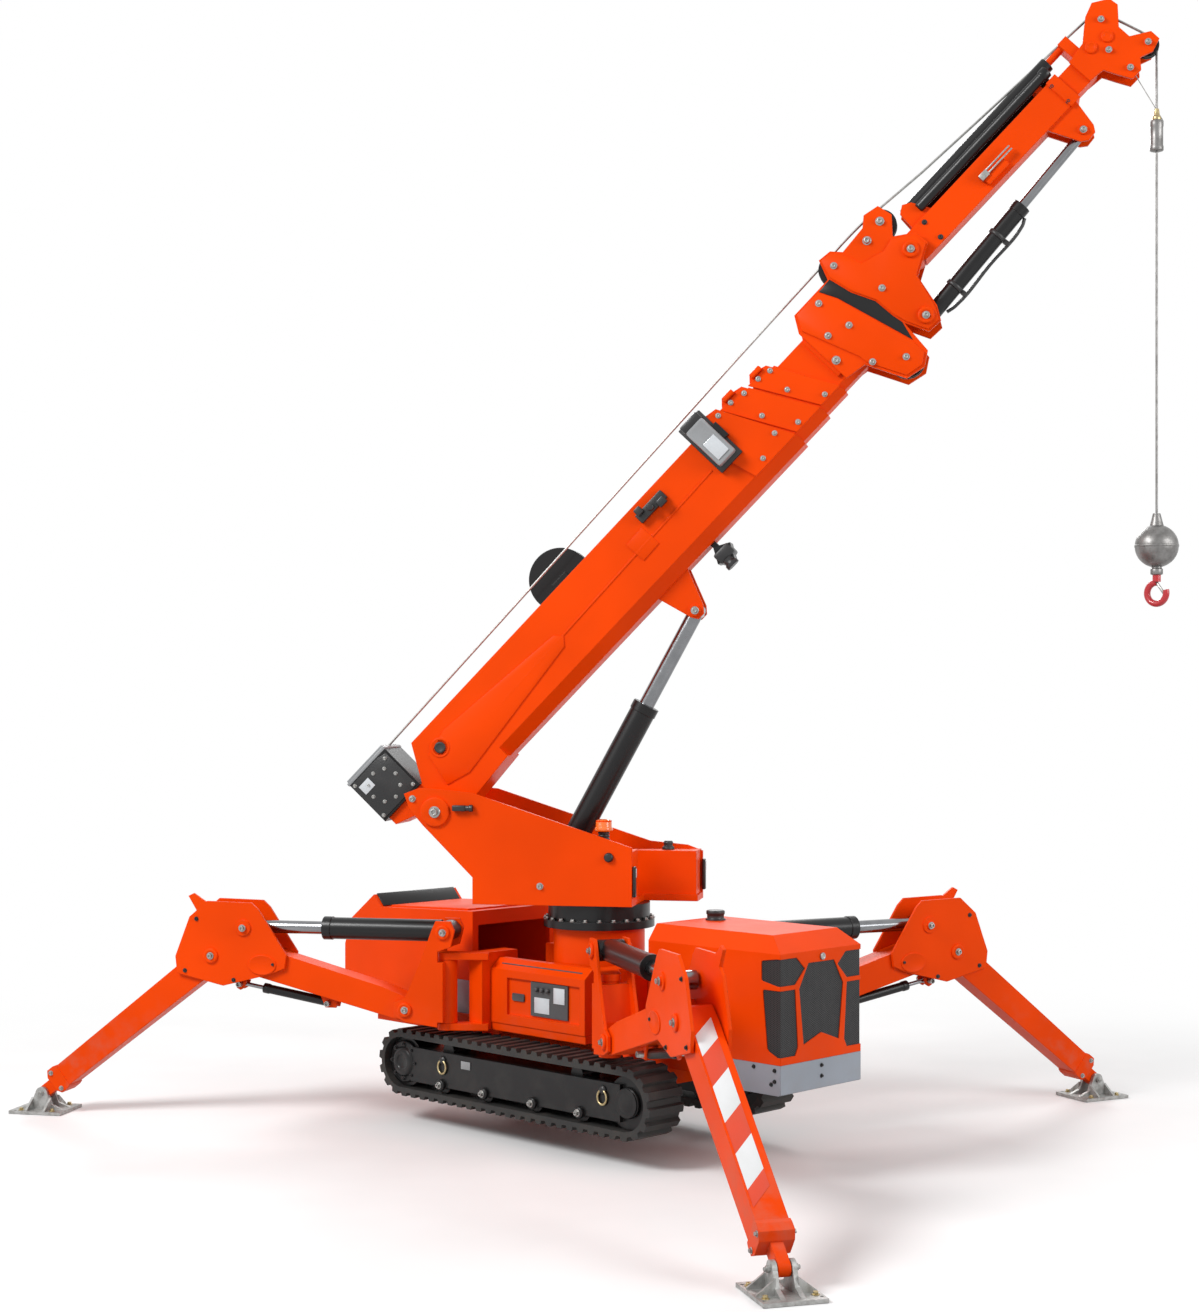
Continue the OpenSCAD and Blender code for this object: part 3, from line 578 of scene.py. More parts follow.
# %% Outrigger pins and plates
PLATE_OUT, CAP_OUT = 0.0905, 0.1
BRACKET_PINS, KNEE_PINS, RAM_PINS = [(0.205, 0.485), (0.0, 0.890)], [(1.278, 0.737)], [(1.096, 0.888)]
PLATE_BOLTS = [(1.15, 0.612), (1.425, 0.655), (0.93, 0.70), (1.36, 0.93)]
LEG_PLACE = Matrix.Translation((1.278, 0, 0.737)) @ Matrix.Rotation(radians(37.86), 4, "Y")
PAD_REACH, PAD_TOP = 2.2775, -0.124
for corner, place in on_outrigger.items():
    dress(scatter(pin_cap(0.038, 0.013), both_sides(place, BRACKET_PINS, PLATE_OUT)),
          f"{corner}_bracket_caps", f"{corner}_bracket", orange_paint)
    dress(scatter(bolt(0.013), both_sides(place, BRACKET_PINS, CAP_OUT)),
          f"{corner}_bracket_bolts", f"{corner}_bracket", bolt_zinc)
    dress(scatter(pin_cap(0.04, 0.012), both_sides(place, KNEE_PINS, PLATE_OUT)),
          f"{corner}_knee_caps", f"{corner}_arm", orange_paint)
    dress(scatter(bolt(0.013), both_sides(place, KNEE_PINS, CAP_OUT) + both_sides(place, RAM_PINS, 0.106)),
          f"{corner}_knee_bolts", f"{corner}_arm", bolt_zinc)
    dress(scatter(bolt(0.008), both_sides(place, PLATE_BOLTS, PLATE_OUT)),
          f"{corner}_plate_bolts", f"{corner}_arm", black_plastic)
    oval = turned([(0, 0.070), (0.004, 0.070), (0.005, 0.066), (0.003, 0.060)], 32, 0.0006)
    oval.data.transform(Matrix.Diagonal((1.12, 0.75, 1, 1)))
    dress(scatter(oval, both_sides(place, [(0.99, 0.695)], PLATE_OUT)),
          f"{corner}_knee_ovals", f"{corner}_arm", orange_paint)
    dress(scatter(bolt(0.009), both_sides(place, [(PAD_REACH, -0.04)], 0.062)),
          f"{corner}_pad_pin_bolts", f"{corner}_pad", bolt_zinc)
    pad_bolts = [spot(place, (PAD_REACH + x, y, PAD_TOP), "Z") for x in (-0.09, 0.09) for y in (-0.1, 0.1)]
    dress(scatter(bolt(0.011), pad_bolts), f"{corner}_pad_bolts", f"{corner}_pad", brass)
print("pins on", len(on_outrigger), "outriggers")

# %% [markdown]
# Under each arm lies a small locking cylinder. Its barrel hangs in a lug under the beam and its rod ends in an ear
# on the knee plates.

# %% Small cylinders
LOCK_FOOT, LOCK_EYE = Vector((0.643, 0, 0.498)), Vector((1.135, 0, 0.585))
LOCK_LEN = (LOCK_EYE - LOCK_FOOT).length
LUG_Y, LUG_THICK = (-0.0215, 0.0335), 0.012
along = (LOCK_EYE - LOCK_FOOT).normalized()
lay = Matrix.Translation(LOCK_FOOT) @ along.to_track_quat("Z", "Y").to_matrix().to_4x4()
for corner, place in on_outrigger.items():
    barrel = turned([(0.0, 0.014), (0.0, 0.024), (0.34, 0.024), (0.345, 0.027), (0.375, 0.027), (0.38, 0.018)])
    dress(set_down(barrel, place @ lay), f"{corner}_lock_barrel", f"{corner}_arm", black_paint)
    stem = turned([(0.375, 0.011), (LOCK_LEN - 0.02, 0.011), (LOCK_LEN - 0.015, 0.015), (LOCK_LEN, 0.015)], 16)
    dress(set_down(stem, place @ lay), f"{corner}_lock_rod", f"{corner}_arm", chrome_rod)
    lug = plate([(0.60, 0.475), (0.66, 0.475), (0.69, 0.545), (0.59, 0.52)], LUG_THICK)
    ear = plate([(1.10, 0.60), (1.115, 0.563), (1.135, 0.552), (1.155, 0.563), (1.165, 0.60)], LUG_THICK)
    sides = [Matrix.Translation((0, y, 0)) for y in LUG_Y]
    lugs = join([scatter(model, sides) for model in (lug, ear)])
    dress(set_down(lugs, place), f"{corner}_lock_lugs", f"{corner}_arm", orange_paint)
    lock_ends = [(end.x, end.z) for end in (LOCK_FOOT, LOCK_EYE)]
    dress(scatter(pin_cap(0.016, 0.066), both_sides(place, lock_ends, 0)),
          f"{corner}_lock_pins", f"{corner}_arm", bolt_zinc)
print("lock cylinders", round(LOCK_LEN, 3), "m between pins")

# %% [markdown]
# Reflecting tape in white and red runs down the upper face of each leg. Each field is a thin parallelogram, slanted
# the same way, and lies on the face, which drops slightly towards the pad.

# %% Leg stripes
TAPE_TOP, TAPE_FOOT, SLANT = 0.036, -0.058, 0.098
WHITE_FIELDS = [(0.05, 0.165), (0.327, 0.515), (0.671, 0.847)]
RED_FIELDS = [(0.165, 0.327), (0.515, 0.671), (0.847, 0.93)]
FACE_FALL = radians(0.75)
FACE_X, FACE_Z = 0.06, 0.0765
FACE = (Matrix.Translation((FACE_X, 0, FACE_Z)) @ Matrix.Rotation(FACE_FALL, 4, "Y")
        @ Matrix.Rotation(-QUARTER, 4, "X"))


def tape(fields):
    strips = [plate([(a - FACE_X, TAPE_TOP), (b - FACE_X, TAPE_TOP), (b + SLANT - FACE_X, TAPE_FOOT),
                     (a + SLANT - FACE_X, TAPE_FOOT)], 0.0012, 0.0003) for a, b in fields]
    return join(strips)


for corner, place in on_outrigger.items():
    for colour, fields, material in (("white", WHITE_FIELDS, white_tape), ("red", RED_FIELDS, red_tape)):
        strip = set_down(tape(fields), place @ LEG_PLACE @ FACE)
        dress(strip, f"{corner}_{colour}_tape", f"{corner}_leg", material)
    flange = both_sides(place @ LEG_PLACE, [(1.14, -0.05), (1.14, 0.05)], 0.0735)
    dress(scatter(bolt(0.009), flange), f"{corner}_leg_bolts", f"{corner}_leg", bolt_zinc)
print("stripes:", len(WHITE_FIELDS), "white and", len(RED_FIELDS), "red fields a leg")

# %% [markdown]
# The hoist rope runs from the winch along the top of the boom, over the head sheave and the jib to its tip. Each
# stretch lists its name, the two neighbouring bodies it lies between, which are not used, and its points. It is taut,
# so it is a straight wire.

# %% Hoist rope
ROPE_R = 0.0065
STRETCHES = [("rope_a", "boom", "section_2", [(0.0, 0.466), (0.45, 0.474), (0.9, 0.482)]),
             ("rope_b", "section_2", "section_3", [(0.9, 0.482), (1.35, 0.49), (1.8, 0.498)]),
             ("rope_c", "section_3", "section_4", [(1.8, 0.498), (2.25, 0.506), (2.7, 0.514)]),
             ("rope_d", "section_4", "jib", [(2.7, 0.514), (3.3, 0.521), (3.6, 0.521), (3.672, 0.515), (3.75, 0.505),
                                             (4.0, 0.475)]),
             ("rope_e", "jib", "jib_slide", [(4.0, 0.475), (4.5, 0.435), (5.07, 0.394)])]


def up_boom(s, q):
    """A point on the boom's middle plane: s along it, q above its foot pin."""
    return on_boom @ Vector((s, 0, q))


for name, body_a, body_b, route in STRETCHES:
    rope = named(tube([up_boom(s, q) for s, q in route], ROPE_R, 10, 1), name, bolt_zinc)
    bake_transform(rope)


def round_sheave(middle, radius, first, last, count=5):
    """Points of an arc, from the first to the last angle in degrees."""
    turns = [radians(first + (last - first) * i / (count - 1)) for i in range(count)]
    return [(middle[0] + radius * cos(turn), middle[1] + radius * sin(turn)) for turn in turns]


over = [(5.07, 0.394)] + round_sheave((5.1, 0.33), 0.062, 80, -10) + round_sheave((5.167, 0.083), 0.0455, 8, -46, 3)
dress(tube([up_boom(s, q) for s, q in over], ROPE_R, 6, 1), "rope_tip", "jib_slide", bolt_zinc)
print("rope stretches:", len(STRETCHES) + 1)

# %% [markdown]
# The boom's near side carries a grey work light in a black frame and a black cleat, and a lamp hangs underneath. Both
# sides have a gusset over the foot, a raised plate and a long weld seam. The collars of the sections are bolted
# through their side plates.

# %% Boom fittings
BASE_Y = 0.1302
gusset = plate([(0.11, 0.075), (0.24, 0.035), (1.05, 0.125), (1.085, 0.165), (1.05, 0.205), (0.30, 0.285),
                (0.15, 0.25)], 0.006)
hatch = plate([(1.645, 0.13), (1.765, 0.135), (1.76, 0.255), (1.64, 0.25)], 0.005)
seam = plate([(0.6, 0.155), (2.213, 0.189), (2.213, 0.199), (0.6, 0.165)], 0.0035, 0.001)
foot_ring = stood([(0, 0.052), (0.008, 0.052), (0.01, 0.047), (0.006, 0.04)], plain, (0.222, 0, 0.236), sides=32)
side_plates = both_faces([gusset, hatch, seam, foot_ring], BASE_Y)
dress(set_down(side_plates, on_boom), "boom_side_plates", "boom", orange_paint)

frame_back = chest((2.235, -0.158, 0.142), (2.385, -0.131, 0.452), 0.006)
frame_top = chest((2.25, -0.212, 0.40), (2.37, -0.15, 0.448), 0.01)
dress(set_down(join([frame_back, frame_top]), on_boom), "work_light_frame", "boom", black_plastic)
lamp = chest((2.252, -0.222, 0.165), (2.368, -0.157, 0.405), 0.012, 0.016, 0.006)
dress(set_down(lamp, on_boom), "work_light", "boom", grey_plastic)
lens_glass = chest((2.272, -0.2225, 0.19), (2.348, -0.212, 0.30), 0.003)
dress(set_down(lens_glass, on_boom), "work_light_lens", "boom", lamp_lens)

cleat = [chests(0.006, ((1.777, -0.165, 0.262), (1.962, -0.131, 0.316)), ((1.79, -0.19, 0.296), (1.83, -0.16, 0.336)),
                ((1.90, -0.19, 0.244), (1.95, -0.16, 0.284))),
         stood([(0, 0.02), (0.03, 0.02), (0.034, 0.016)], plain, (1.866, -0.163, 0.288))]
dress(set_down(join(cleat), on_boom), "boom_cleat", "boom", black_plastic)

underside = [chest((1.90, -0.075, -0.165), (2.0, 0.075, -0.10), 0.012),
             stood([(0, 0.028), (0.02, 0.028), (0.03, 0.036), (0.05, 0.036)], plain, (1.94, -0.06, -0.16), "-Z")]
dress(set_down(join(underside), on_boom), "under_lamps", "boom", black_plastic)

COLLARS = [("boom", 0.1415, [(2.29, 0.375), (2.36, 0.20), (2.43, 0.045), (2.43, 0.36), (2.56, 0.09)]),
           ("section_2", 0.1255, [(2.52, 0.362), (2.58, 0.20), (2.68, 0.045), (2.60, 0.345)]),
           ("section_3", 0.1105, [(2.70, 0.345), (2.76, 0.20), (2.87, 0.045), (2.77, 0.33)])]
for body, y, points in COLLARS:
    dress(scatter(bolt(0.0095), both_sides(on_boom, points, y)), f"{body}_collar_bolts", body, bolt_zinc)
    x, z = points[0]
    lug = chest((x - 0.02, -y - 0.02, z + 0.02), (x + 0.05, -y + 0.02, z + 0.045), 0.006)
    dress(set_down(lug, on_boom), f"{body}_collar_lug", body, orange_paint)
dress(scatter(pin_cap(0.03, 0.012), both_sides(on_boom, [(0.222, 0.236), (-0.079, 0.10)], BASE_Y)),
      "boom_foot_caps", "boom", black_plastic)
dress(scatter(bolt(0.014), both_sides(on_boom, [(1.64, -0.225)], 0.0725)), "lift_eye_bolts", "boom", bolt_zinc)
print("boom fittings done,", len(made), "pieces so far")

# %% [markdown]
# The winch sits behind the boom foot under a ribbed grey lid. Its near cheek is closed by a bolted plate, with one
# blank name plate. The reel on the far side holds turns of cable between its flanges.

# %% Winch and reel
CHEEK_Y, CHEEK_THICK = -0.1502, 0.008
RIBS = (-0.13, -0.09, -0.05, 0.05, 0.09, 0.13)
lid = [chest((-0.262, -0.152, 0.441), (0.02, 0.152, 0.459), 0.004),
       chests(0.003, *[((-0.255, y - 0.008, 0.457), (0.012, y + 0.008, 0.472)) for y in RIBS])]
dress(set_down(join(lid), on_boom), "winch_lid", "boom", grey_plastic)
cheek = plate([(-0.25, 0.19), (0.005, 0.19), (0.005, 0.42), (-0.05, 0.435), (-0.25, 0.435)], CHEEK_THICK, 0.002)
dress(set_down(cheek, on_boom @ Matrix.Translation((0, CHEEK_Y, 0))), "winch_cheek", "boom", black_plastic)
ring = [(-0.12 + 0.085 * cos(tau * i / 8), 0.31 + 0.085 * sin(tau * i / 8)) for i in range(8)]
corners = [(-0.235, 0.205), (-0.01, 0.205), (-0.235, 0.42), (-0.02, 0.405)]
winch_bolts = [spot(on_boom, (x, CHEEK_Y - CHEEK_THICK, z)) for x, z in ring + corners]
dress(scatter(bolt(0.007), winch_bolts), "winch_bolts", "boom", bolt_zinc)
tag = plate([(-0.225, 0.345), (-0.155, 0.345), (-0.155, 0.40), (-0.225, 0.40)], 0.002, 0.0005)
dress(set_down(tag, on_boom @ Matrix.Translation((0, -0.1584, 0))), "winch_blank_plate", "boom", lamp_lens)
turn = hoop(0.128, 0.0085, 40, (1, 1, 1.05))
turns = [spot(on_boom, (1.25, y, 0.43), "Y") for y in (0.161, 0.178, 0.195)]
dress(scatter(turn, turns), "reel_cable", "boom", hose_rubber)
print("winch and reel done")

# %% [markdown]
# The boom head is two plates held apart by pins. On each, a raised cross plate sits towards the boom and a raised
# star plate carries the jib; a thin black plate between them is partly painted shade of the recess there and partly
# the black inlay seen in it. The jib gets a frame round its mouth, a clip on its near side, two tubes along its top and
# a clamped pipe under its cylinder.

# %% Boom head and jib
HEAD_Y, HEAD_PLATE = 0.1152, 0.009
JIB_Y, TIP_Y = 0.0722, 0.0805
HEAD_PINS = [(3.673, 0.228), (3.488, -0.055)]
HEAD_BOLTS = [(3.672, 0.44), (3.56, 0.42), (3.03, 0.12)]
CROSS_BOLTS = [(3.175, 0.38), (3.198, 0.193), (3.275, -0.125), (3.145, -0.02), (3.09, 0.234), (3.36, 0.455),
               (3.44, 0.2)]
dress(scatter(pin_cap(0.042, 0.014), both_sides(on_boom, HEAD_PINS, HEAD_Y + HEAD_PLATE)),
      "head_pin_caps", "section_4", orange_paint)
dress(scatter(bolt(0.015), both_sides(on_boom, HEAD_BOLTS, HEAD_Y)), "head_bolts", "section_4", bolt_zinc)
dress(scatter(bolt(0.013), both_sides(on_boom, HEAD_PINS, 0.136)), "head_pin_bolts", "section_4", bolt_zinc)
cross = [plate([(3.02, 0.345), (3.06, 0.42), (3.21, 0.42), (3.25, 0.33), (3.352, -0.10), (3.352, -0.175), (3.30, -0.21),
                (3.21, -0.19), (3.125, 0.0), (3.12, 0.05)], HEAD_PLATE, 0.002),
         plate([(3.305, 0.43), (3.335, 0.52), (3.395, 0.51), (3.43, 0.46), (3.46, 0.36), (3.58, 0.32), (3.645, 0.335),
                (3.735, 0.265), (3.745, 0.195), (3.60, 0.12), (3.55, -0.055), (3.515, -0.115), (3.445, -0.11),
                (3.40, 0.0), (3.385, 0.07), (3.38, 0.18), (3.33, 0.30)], HEAD_PLATE, 0.002)]
# A thin black plate over the orange head plate: partly painted shade of the recess between cross and star, partly the
# black inlay there.
shade_and_inlay_band = [plate([(3.217, 0.42), (3.257, 0.33), (3.358, -0.09), (3.386, 0.01), (3.377, 0.07), (3.372, 0.18),
               (3.322, 0.30), (3.297, 0.424)], 0.003, 0.001)]
dress(set_down(both_faces(cross, HEAD_Y), on_boom), "head_cross_plates", "section_4", orange_paint)
dress(set_down(both_faces(shade_and_inlay_band, HEAD_Y), on_boom), "head_shade_and_inlay_bands", "section_4", black_paint)
dress(scatter(bolt(0.012), both_sides(on_boom, CROSS_BOLTS, HEAD_Y + HEAD_PLATE)),
      "head_cross_bolts", "section_4", bolt_zinc)

dress(scatter(bolt(0.012), both_sides(on_boom, [(4.66, 0.02)], 0.0685)), "jib_eye_bolts", "jib", bolt_zinc)
dress(scatter(bolt(0.009), both_sides(on_boom, [(x, z) for x in (3.82, 4.71) for z in (0.17, 0.28)], JIB_Y)),
      "jib_arm_bolts", "jib", black_plastic)
mouth = chests(0.003, ((4.70, -0.079, 0.14), (4.762, 0.079, 0.152)), ((4.70, -0.079, 0.298), (4.762, 0.079, 0.311)),
               ((4.70, -0.081, 0.14), (4.762, -0.071, 0.311)), ((4.70, 0.071, 0.14), (4.762, 0.081, 0.311)))
dress(set_down(mouth, on_boom), "jib_mouth", "jib", orange_paint)
block = chest((4.16, -0.1, 0.165), (4.30, -0.0725, 0.205), 0.005)
dress(set_down(block, on_boom), "jib_clip_block", "jib", orange_paint)
fork = [chest((4.15, -0.112, 0.20), (4.20, -0.074, 0.235), 0.004),
        chests(0.002, *[((4.195, -0.11, z), (4.36, -0.1, z + 0.008)) for z in (0.205, 0.224)])]
dress(set_down(join(fork), on_boom), "jib_clip", "jib", bolt_zinc)
side_tube = [(0, 0.022), (0.01, 0.026), (0.86, 0.026), (0.865, 0.031), (0.90, 0.031), (0.905, 0.02)]
twins = [stood(side_tube, on_boom, (3.85, y, 0.352), "X") for y in (-0.062, 0.062)]
dress(join(twins), "jib_side_tubes", "jib", black_paint)
dress(scatter(bolt(0.011), both_sides(on_boom, [(5.017, 0.198), (5.022, 0.06), (5.1, 0.33), (5.167, 0.083)], TIP_Y)),
      "tip_bolts", "jib_slide", bolt_zinc)
dress(scatter(pin_cap(0.03, 0.01), both_sides(on_boom, [(5.06, 0.25), (4.97, 0.27)], 0.0725)),
      "tip_caps", "jib_slide", orange_paint)
jib_lay = Matrix.Translation((3.488, 0, -0.055)) @ Matrix.Rotation(-atan2(0.075, 1.172), 4, "Y")
pipe = [tube([(0.09, 0, -0.052), (0.14, 0, -0.066), (0.4, 0, -0.066), (0.64, 0, -0.066), (0.68, 0, -0.05)], 0.009)]
CLAMPS = (0.2, 0.52)
pipe += [scatter(hoop(0.0435, 0.006, 32, (1, 1, 2)), [spot(plain, (x + 0.012, 0, 0), "X") for x in CLAMPS])]
pipe += [chest((x, -0.014, -0.078), (x + 0.024, 0.014, -0.045), 0.003) for x in CLAMPS]
dress(set_down(join(pipe), on_boom @ jib_lay), "jib_barrel_pipe", "jib_barrel", black_plastic)
print("head and jib done")

# %% [markdown]
# The turret's side plates carry the boom pin in a raised ring. Slot lamps stand on the front ends, and a beacon with
# a ribbed black stem stands on the near box.

# %% Turret fittings
TURRET_Y, RING_Y = 0.2852, 0.3003
BEACON = (0.06, -0.19, 1.3303)
boom_pin = [(BOOM_FOOT.x, BOOM_FOOT.z)]
rings = turned([(0, 0.075), (0.012, 0.075), (0.015, 0.071), (0.015, 0.045)], 36)
dress(scatter(rings, both_sides(on_turret, boom_pin, TURRET_Y)), "boom_pin_rings", "turret", orange_paint)
dress(scatter(bolt(0.02), both_sides(on_turret, boom_pin, RING_Y)), "boom_pin_bolts", "turret", bolt_zinc)
dress(scatter(bolt(0.012), both_sides(on_turret, [(-0.915, 1.585), (-0.25, 1.15)], TURRET_Y)),
      "turret_bolts", "turret", bolt_zinc)
fittings = [chest((-0.70, -0.318, 1.525), (-0.63, -0.2855, 1.555), 0.006),
            stood([(0, 0.014), (0.03, 0.014), (0.034, 0.018), (0.05, 0.018)], plain, (-0.645, -0.3, 1.54), "X"),
            stood([(0, 0.024), (0.012, 0.024), (0.02, 0.018)], plain, (0.104, -0.2855, 1.30)),
            stood([(0, 0.032), (0.012, 0.032), (0.02, 0.022), (0.035, 0.026), (0.045, 0.02)],
                  plain, (0.33, 0.19, 1.3102), "Z")]
dress(set_down(join(fittings), on_turret), "turret_fittings", "turret", black_plastic)
slots = chests(0.006, ((0.2205, -0.278, 1.10), (0.238, -0.245, 1.255)), ((0.5005, 0.232, 1.10), (0.518, 0.268, 1.26)))
dress(set_down(slots, on_turret), "slot_lamps", "turret", black_plastic)
lenses = chests(0.002, ((0.236, -0.270, 1.20), (0.2415, -0.253, 1.245)), ((0.516, 0.24, 1.20), (0.5215, 0.26, 1.25)))
dress(set_down(lenses, on_turret), "slot_lamp_lenses", "turret", lamp_lens)
stem = [(0, 0.036), (0.014, 0.036), (0.016, 0.026)]
for i in range(5):
    rib = 0.015 * i
    stem += [(0.02 + rib, 0.026), (0.024 + rib, 0.030), (0.029 + rib, 0.030), (0.032 + rib, 0.026)]
dress(stood(stem, on_turret, BEACON, "Z"), "beacon_stem", "turret", black_plastic)
cap = [(0.094, 0.042), (0.10, 0.046), (0.112, 0.046), (0.116, 0.041), (0.142, 0.0405), (0.152, 0.035), (0.156, 0.02)]
dress(stood(cap, on_turret, BEACON, "Z", 32), "beacon_cap", "turret", amber_lens)
deck = [chest((-0.56, -0.255, 1.0855), (-0.35, 0.255, 1.12), 0.012),
        chest((-0.45, -0.10, 1.11), (-0.36, 0.10, 1.20), 0.014)]
dress(set_down(join(deck), on_turret), "turret_deck", "turret", black_plastic)
ring_bolts = [spot(on_tracks @ Matrix.Rotation(tau * i / 24, 4, "Z"), (0.274, 0, 0.9702), "Z") for i in range(24)]
dress(scatter(bolt(0.01), ring_bolts), "slewing_bolts", "chassis", bolt_zinc)
print("turret done")

# %% [markdown]
# On the bodywork: a filler cap and a lock on the cover, bolts along the grey bumper, a dark control panel and a plain
# latch on each side box, the lid and the sloped black panel of the rear box, and blank plates.

# %% Bodywork fittings
filler = [(0, 0.05), (0.006, 0.05), (0.008, 0.042), (0.026, 0.042), (0.03, 0.046), (0.044, 0.046), (0.048, 0.04)]
NOSE_X, SKIRT_Y = 1.4602, 0.2962
dress(stood(filler, on_tracks, (0.731, 0.078, 1.0055), "Z", 28), "filler_cap", "chassis", black_plastic)
dress(set_down(pin_cap(0.017, 0.01), spot(on_tracks, (NOSE_X, 0.004, 0.897), "X")), "cover_lock", "chassis", bolt_zinc)
skirt = [spot(on_tracks, (NOSE_X, 0.0, z), "X") for z in (0.39, 0.34)]
skirt += both_sides(on_tracks, [(1.425, 0.395), (1.425, 0.345), (1.405, 0.33), (1.30, 0.40)], SKIRT_Y)
dress(scatter(bolt(0.007), skirt), "bumper_bolts", "chassis", black_plastic)
for label, side, _ in SIDES:
    flip = on_tracks @ Matrix.Diagonal((1, -side, 1, 1))
    panel = [chest((-0.158, -0.337, 0.483), (0.111, -0.3255, 0.657), 0.003, 0.008, 0.003)]
    panel += [stood([(0, 0.012), (0.012, 0.012), (0.018, 0.008)], plain, (x, -0.334, 0.62), sides=16)
              for x in (-0.11, -0.07, -0.03)]
    latch = [chest((-0.30, -0.337, 0.545), (-0.21, -0.3255, 0.585), 0.006, 0.006, 0.003)]
    slot_line = [chest((-0.40, -0.312, 0.722), (0.19, -0.296, 0.729), 0.002)]
    dark = join(panel + latch + slot_line)
    gauges = chests(0.002, ((0.01, -0.338, 0.56), (0.09, -0.333, 0.64)), ((-0.13, -0.338, 0.50), (-0.02, -0.333, 0.58)))
    for piece, name, material in ((dark, "panel", panel_grey), (gauges, "gauges", lamp_lens)):
        piece.data.transform(flip)
        if side > 0:
            piece.data.flip_normals()
        dress(piece, f"{label}_box_{name}", "chassis", material)
slope = plate([(-0.004, -0.28), (0.084, -0.28), (0.084, 0.28), (-0.004, 0.28)], 0.006, 0.002)
tilt = (Matrix.Translation((-1.459, 0, 1.0095)) @ Matrix.Rotation(atan2(0.065, 0.06), 4, "Y")
        @ Matrix.Rotation(-QUARTER, 4, "X"))
dress(set_down(slope, on_tracks @ tilt), "rear_sloped_panel", "chassis", black_paint)
rear_lid = chest((-1.36, -0.26, 0.948), (-0.72, 0.26, 0.962), 0.004)
LID_FALL = radians(-2.26)
lid_lay = (Matrix.Translation((-0.72, 0, 0.955)) @ Matrix.Rotation(LID_FALL, 4, "Y")
           @ Matrix.Translation((0.72, 0, -0.935)))
dress(set_down(rear_lid, on_tracks @ lid_lay), "rear_lid", "chassis", orange_paint)
rear_plates = chests(0.003, ((-0.785, -0.309, 0.435), (-0.65, -0.3003, 0.61)),
                     ((-0.785, 0.3003, 0.435), (-0.65, 0.309, 0.61)))
dress(set_down(rear_plates, on_tracks), "rear_side_plates", "chassis", grey_paint)
tail = chests(0.0015, *[((-1.7195, y - 0.07, 0.60), (-1.7155, y + 0.07, 0.66)) for y in (-0.2, 0.2)])
dress(set_down(tail, on_tracks), "tail_plates", "chassis", red_paint)
print("bodywork done")

# %% [markdown]
# On the running gear the sprocket has a hub with a ring of bolts, the idler a plain cap, each roller a washer and
# bolt. Two lashing rings hang on the frame's outer face beside one blank plate.

# %% Running gear
TRACK_X, HALF_STRAIGHT, WHEEL_Z = -0.124, 0.819, 0.176
SPROCKET_X, IDLER_X = TRACK_X - HALF_STRAIGHT, TRACK_X + HALF_STRAIGHT
WHEEL_Y, FRAME_Y = 0.4975, 0.5202
HUB = [(0, 0.112), (0.012, 0.112), (0.018, 0.104), (0.018, 0.08), (0.032, 0.072), (0.036, 0.062), (0.036, 0.04),
       (0.03, 0.036)]
IDLER_CAP = [(0, 0.075), (0.014, 0.075), (0.022, 0.06), (0.026, 0.04)]
ROLLERS = [(TRACK_X + x, 0.092) for x in (-0.51, -0.18, 0.18, 0.51)]
HUB_BOLTS = [(SPROCKET_X + 0.092 * cos(tau * i / 8), WHEEL_Z + 0.092 * sin(tau * i / 8)) for i in range(8)]
LASHINGS = (-0.624, 0.543)


def on_face(points, y, side, out):
    """Spots on one side of the running gear."""
    return [spot(on_tracks, (x, side * y, z), out) for x, z in points]


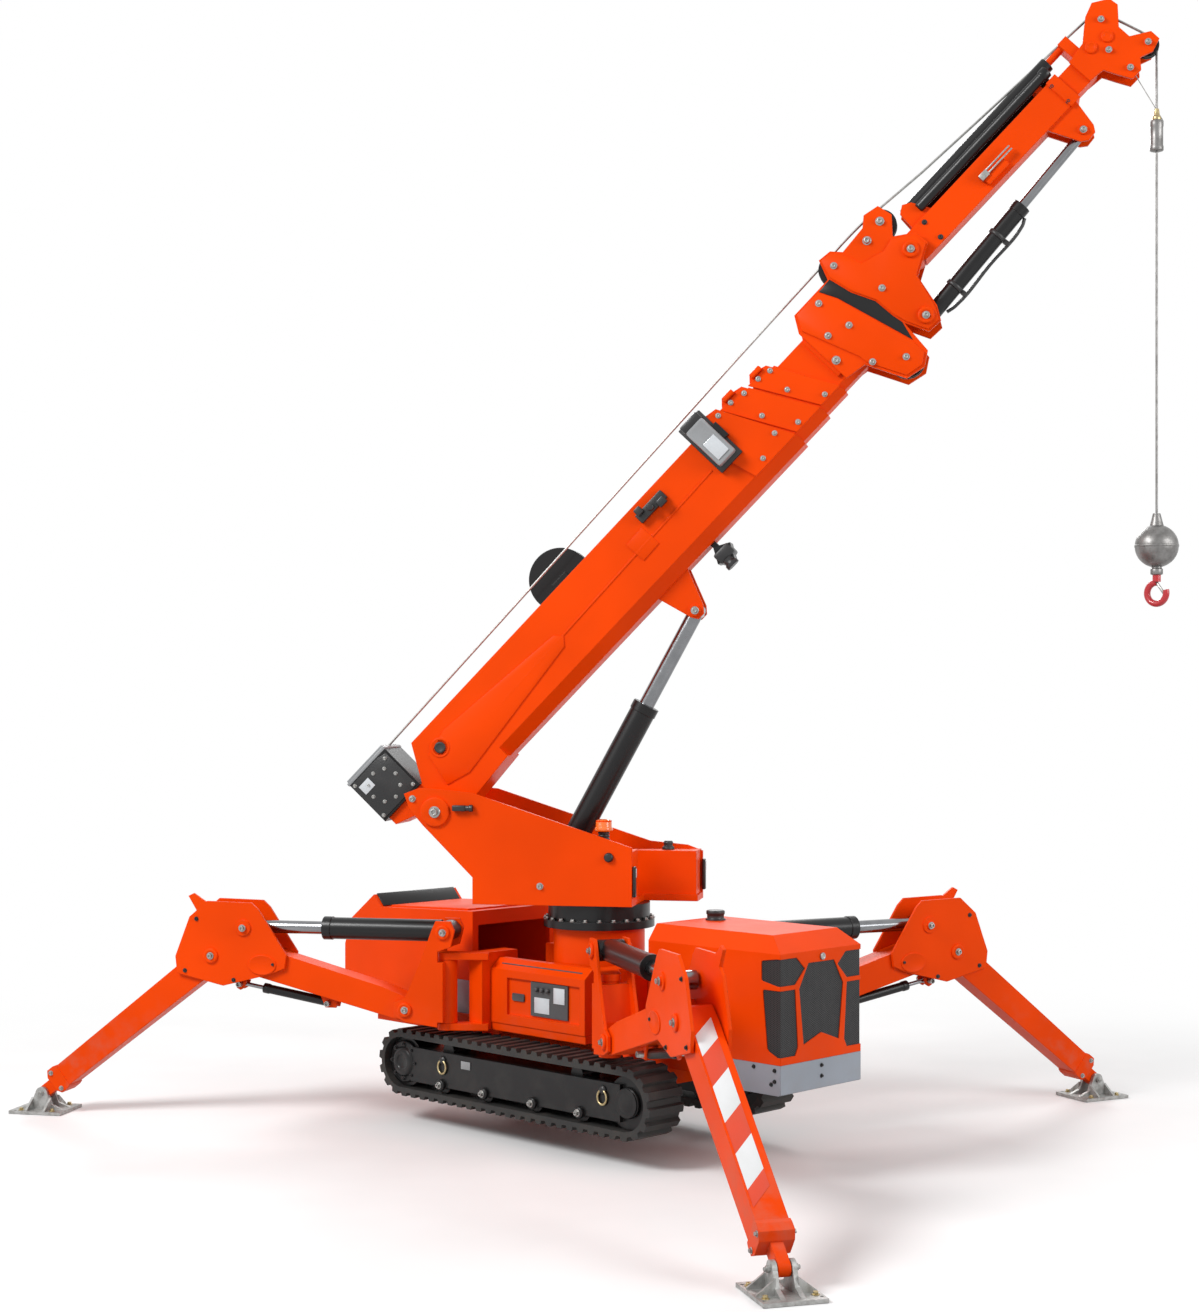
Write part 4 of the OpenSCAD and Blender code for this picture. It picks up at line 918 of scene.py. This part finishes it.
for label, side, out in SIDES:
    washer = turned([(0, 0.030), (0.014, 0.030), (0.02, 0.024)])
    pieces = [stood(HUB, on_tracks, (SPROCKET_X, side * WHEEL_Y, WHEEL_Z), out, 36),
              stood(IDLER_CAP, on_tracks, (IDLER_X, side * WHEEL_Y, WHEEL_Z), out, 32),
              scatter(washer, on_face(ROLLERS, FRAME_Y, side, out))]
    dress(join(pieces), f"{label}_hubs", "chassis", black_paint)
    dress(scatter(bolt(0.009), on_face(HUB_BOLTS, WHEEL_Y + 0.018, side, out)),
          f"{label}_hub_bolts", "chassis", black_plastic)
    dress(scatter(bolt(0.0125), on_face(ROLLERS, FRAME_Y + 0.02, side, out)),
          f"{label}_roller_bolts", "chassis", bolt_zinc)
    lashing = hoop(0.030, 0.0055, 32, (1, 1.15, 1))
    dress(scatter(lashing, on_face([(x, 0.186) for x in LASHINGS], 0.528, side, out)),
          f"{label}_lashing_rings", "chassis", brass)
    bosses = turned([(0, 0.022), (0.006, 0.022), (0.014, 0.012)], 20)
    dress(scatter(bosses, on_face([(x, 0.222) for x in LASHINGS], FRAME_Y, side, out)),
          f"{label}_ring_bosses", "chassis", black_plastic)
    tag = chest((-0.48, side * 0.5225 - 0.002, 0.195), (-0.41, side * 0.5225 + 0.002, 0.235), 0.001)
    dress(set_down(tag, on_tracks), f"{label}_frame_plate", "chassis", grey_plastic)
print("running gear done")

# %% [markdown]
# At the end of the rope hang the stop weight with its brass neck, the ball, which shows a seam, and the hook with
# its spring latch. A thin line joins the weight to the jib's head.

# %% Hook line
HOOK_X, HOOK_TOP = Vector((2.30547, 1.55506, 0)).length, 2.7077
hang = on_turret @ Matrix.Translation((HOOK_X, 0, 0))
weight = [(4.775, 0.018), (4.78, 0.033), (4.80, 0.033), (4.805, 0.031), (4.895, 0.031), (4.90, 0.033),
          (4.925, 0.033), (4.93, 0.02)]
dress(set_down(turned(weight, 28), hang), "stop_weight", "hook_line", ball_steel)
neck = [(4.925, 0.014), (4.93, 0.022), (4.945, 0.022), (4.95, 0.016), (4.965, 0.014), (4.985, 0.011)]
dress(set_down(turned(neck, 24), hang), "weight_neck", "hook_line", brass)
belt = [(2.836, 0.1040), (2.838, 0.1066), (2.848, 0.1066), (2.850, 0.1040)]
dress(set_down(turned(belt, 48), hang), "ball_seam", "hook_line", ball_steel)
swivel = [(2.70, 0.018), (2.705, 0.030), (2.73, 0.030), (2.735, 0.024), (2.755, 0.026)]
dress(set_down(turned(swivel, 28), hang), "hook_swivel", "hook_line", ball_steel)
hook_place = hang @ Matrix.Rotation(-SLEW, 4, "Z") @ Matrix.Translation((0, 0, HOOK_TOP))
latch = plate([(-0.006, -0.045), (0.006, -0.042), (0.05, -0.10), (0.046, -0.107), (0.036, -0.103)], 0.012, 0.002)
latch.data.transform(Matrix.Translation((0, 0.006, 0)))
dress(set_down(latch, hook_place), "hook_latch", "hook_line", bolt_zinc)
cord_top = up_boom(5.03, 0.03)
cord_foot = hang @ Vector((0.028, 0, 4.93))
switch_line = tube([cord_top, cord_top.lerp(cord_foot, 0.5), cord_foot], 0.0025, 8, 1)
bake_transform(named(switch_line, "switch_line", bolt_zinc))
print("pieces modelled:", len(made))
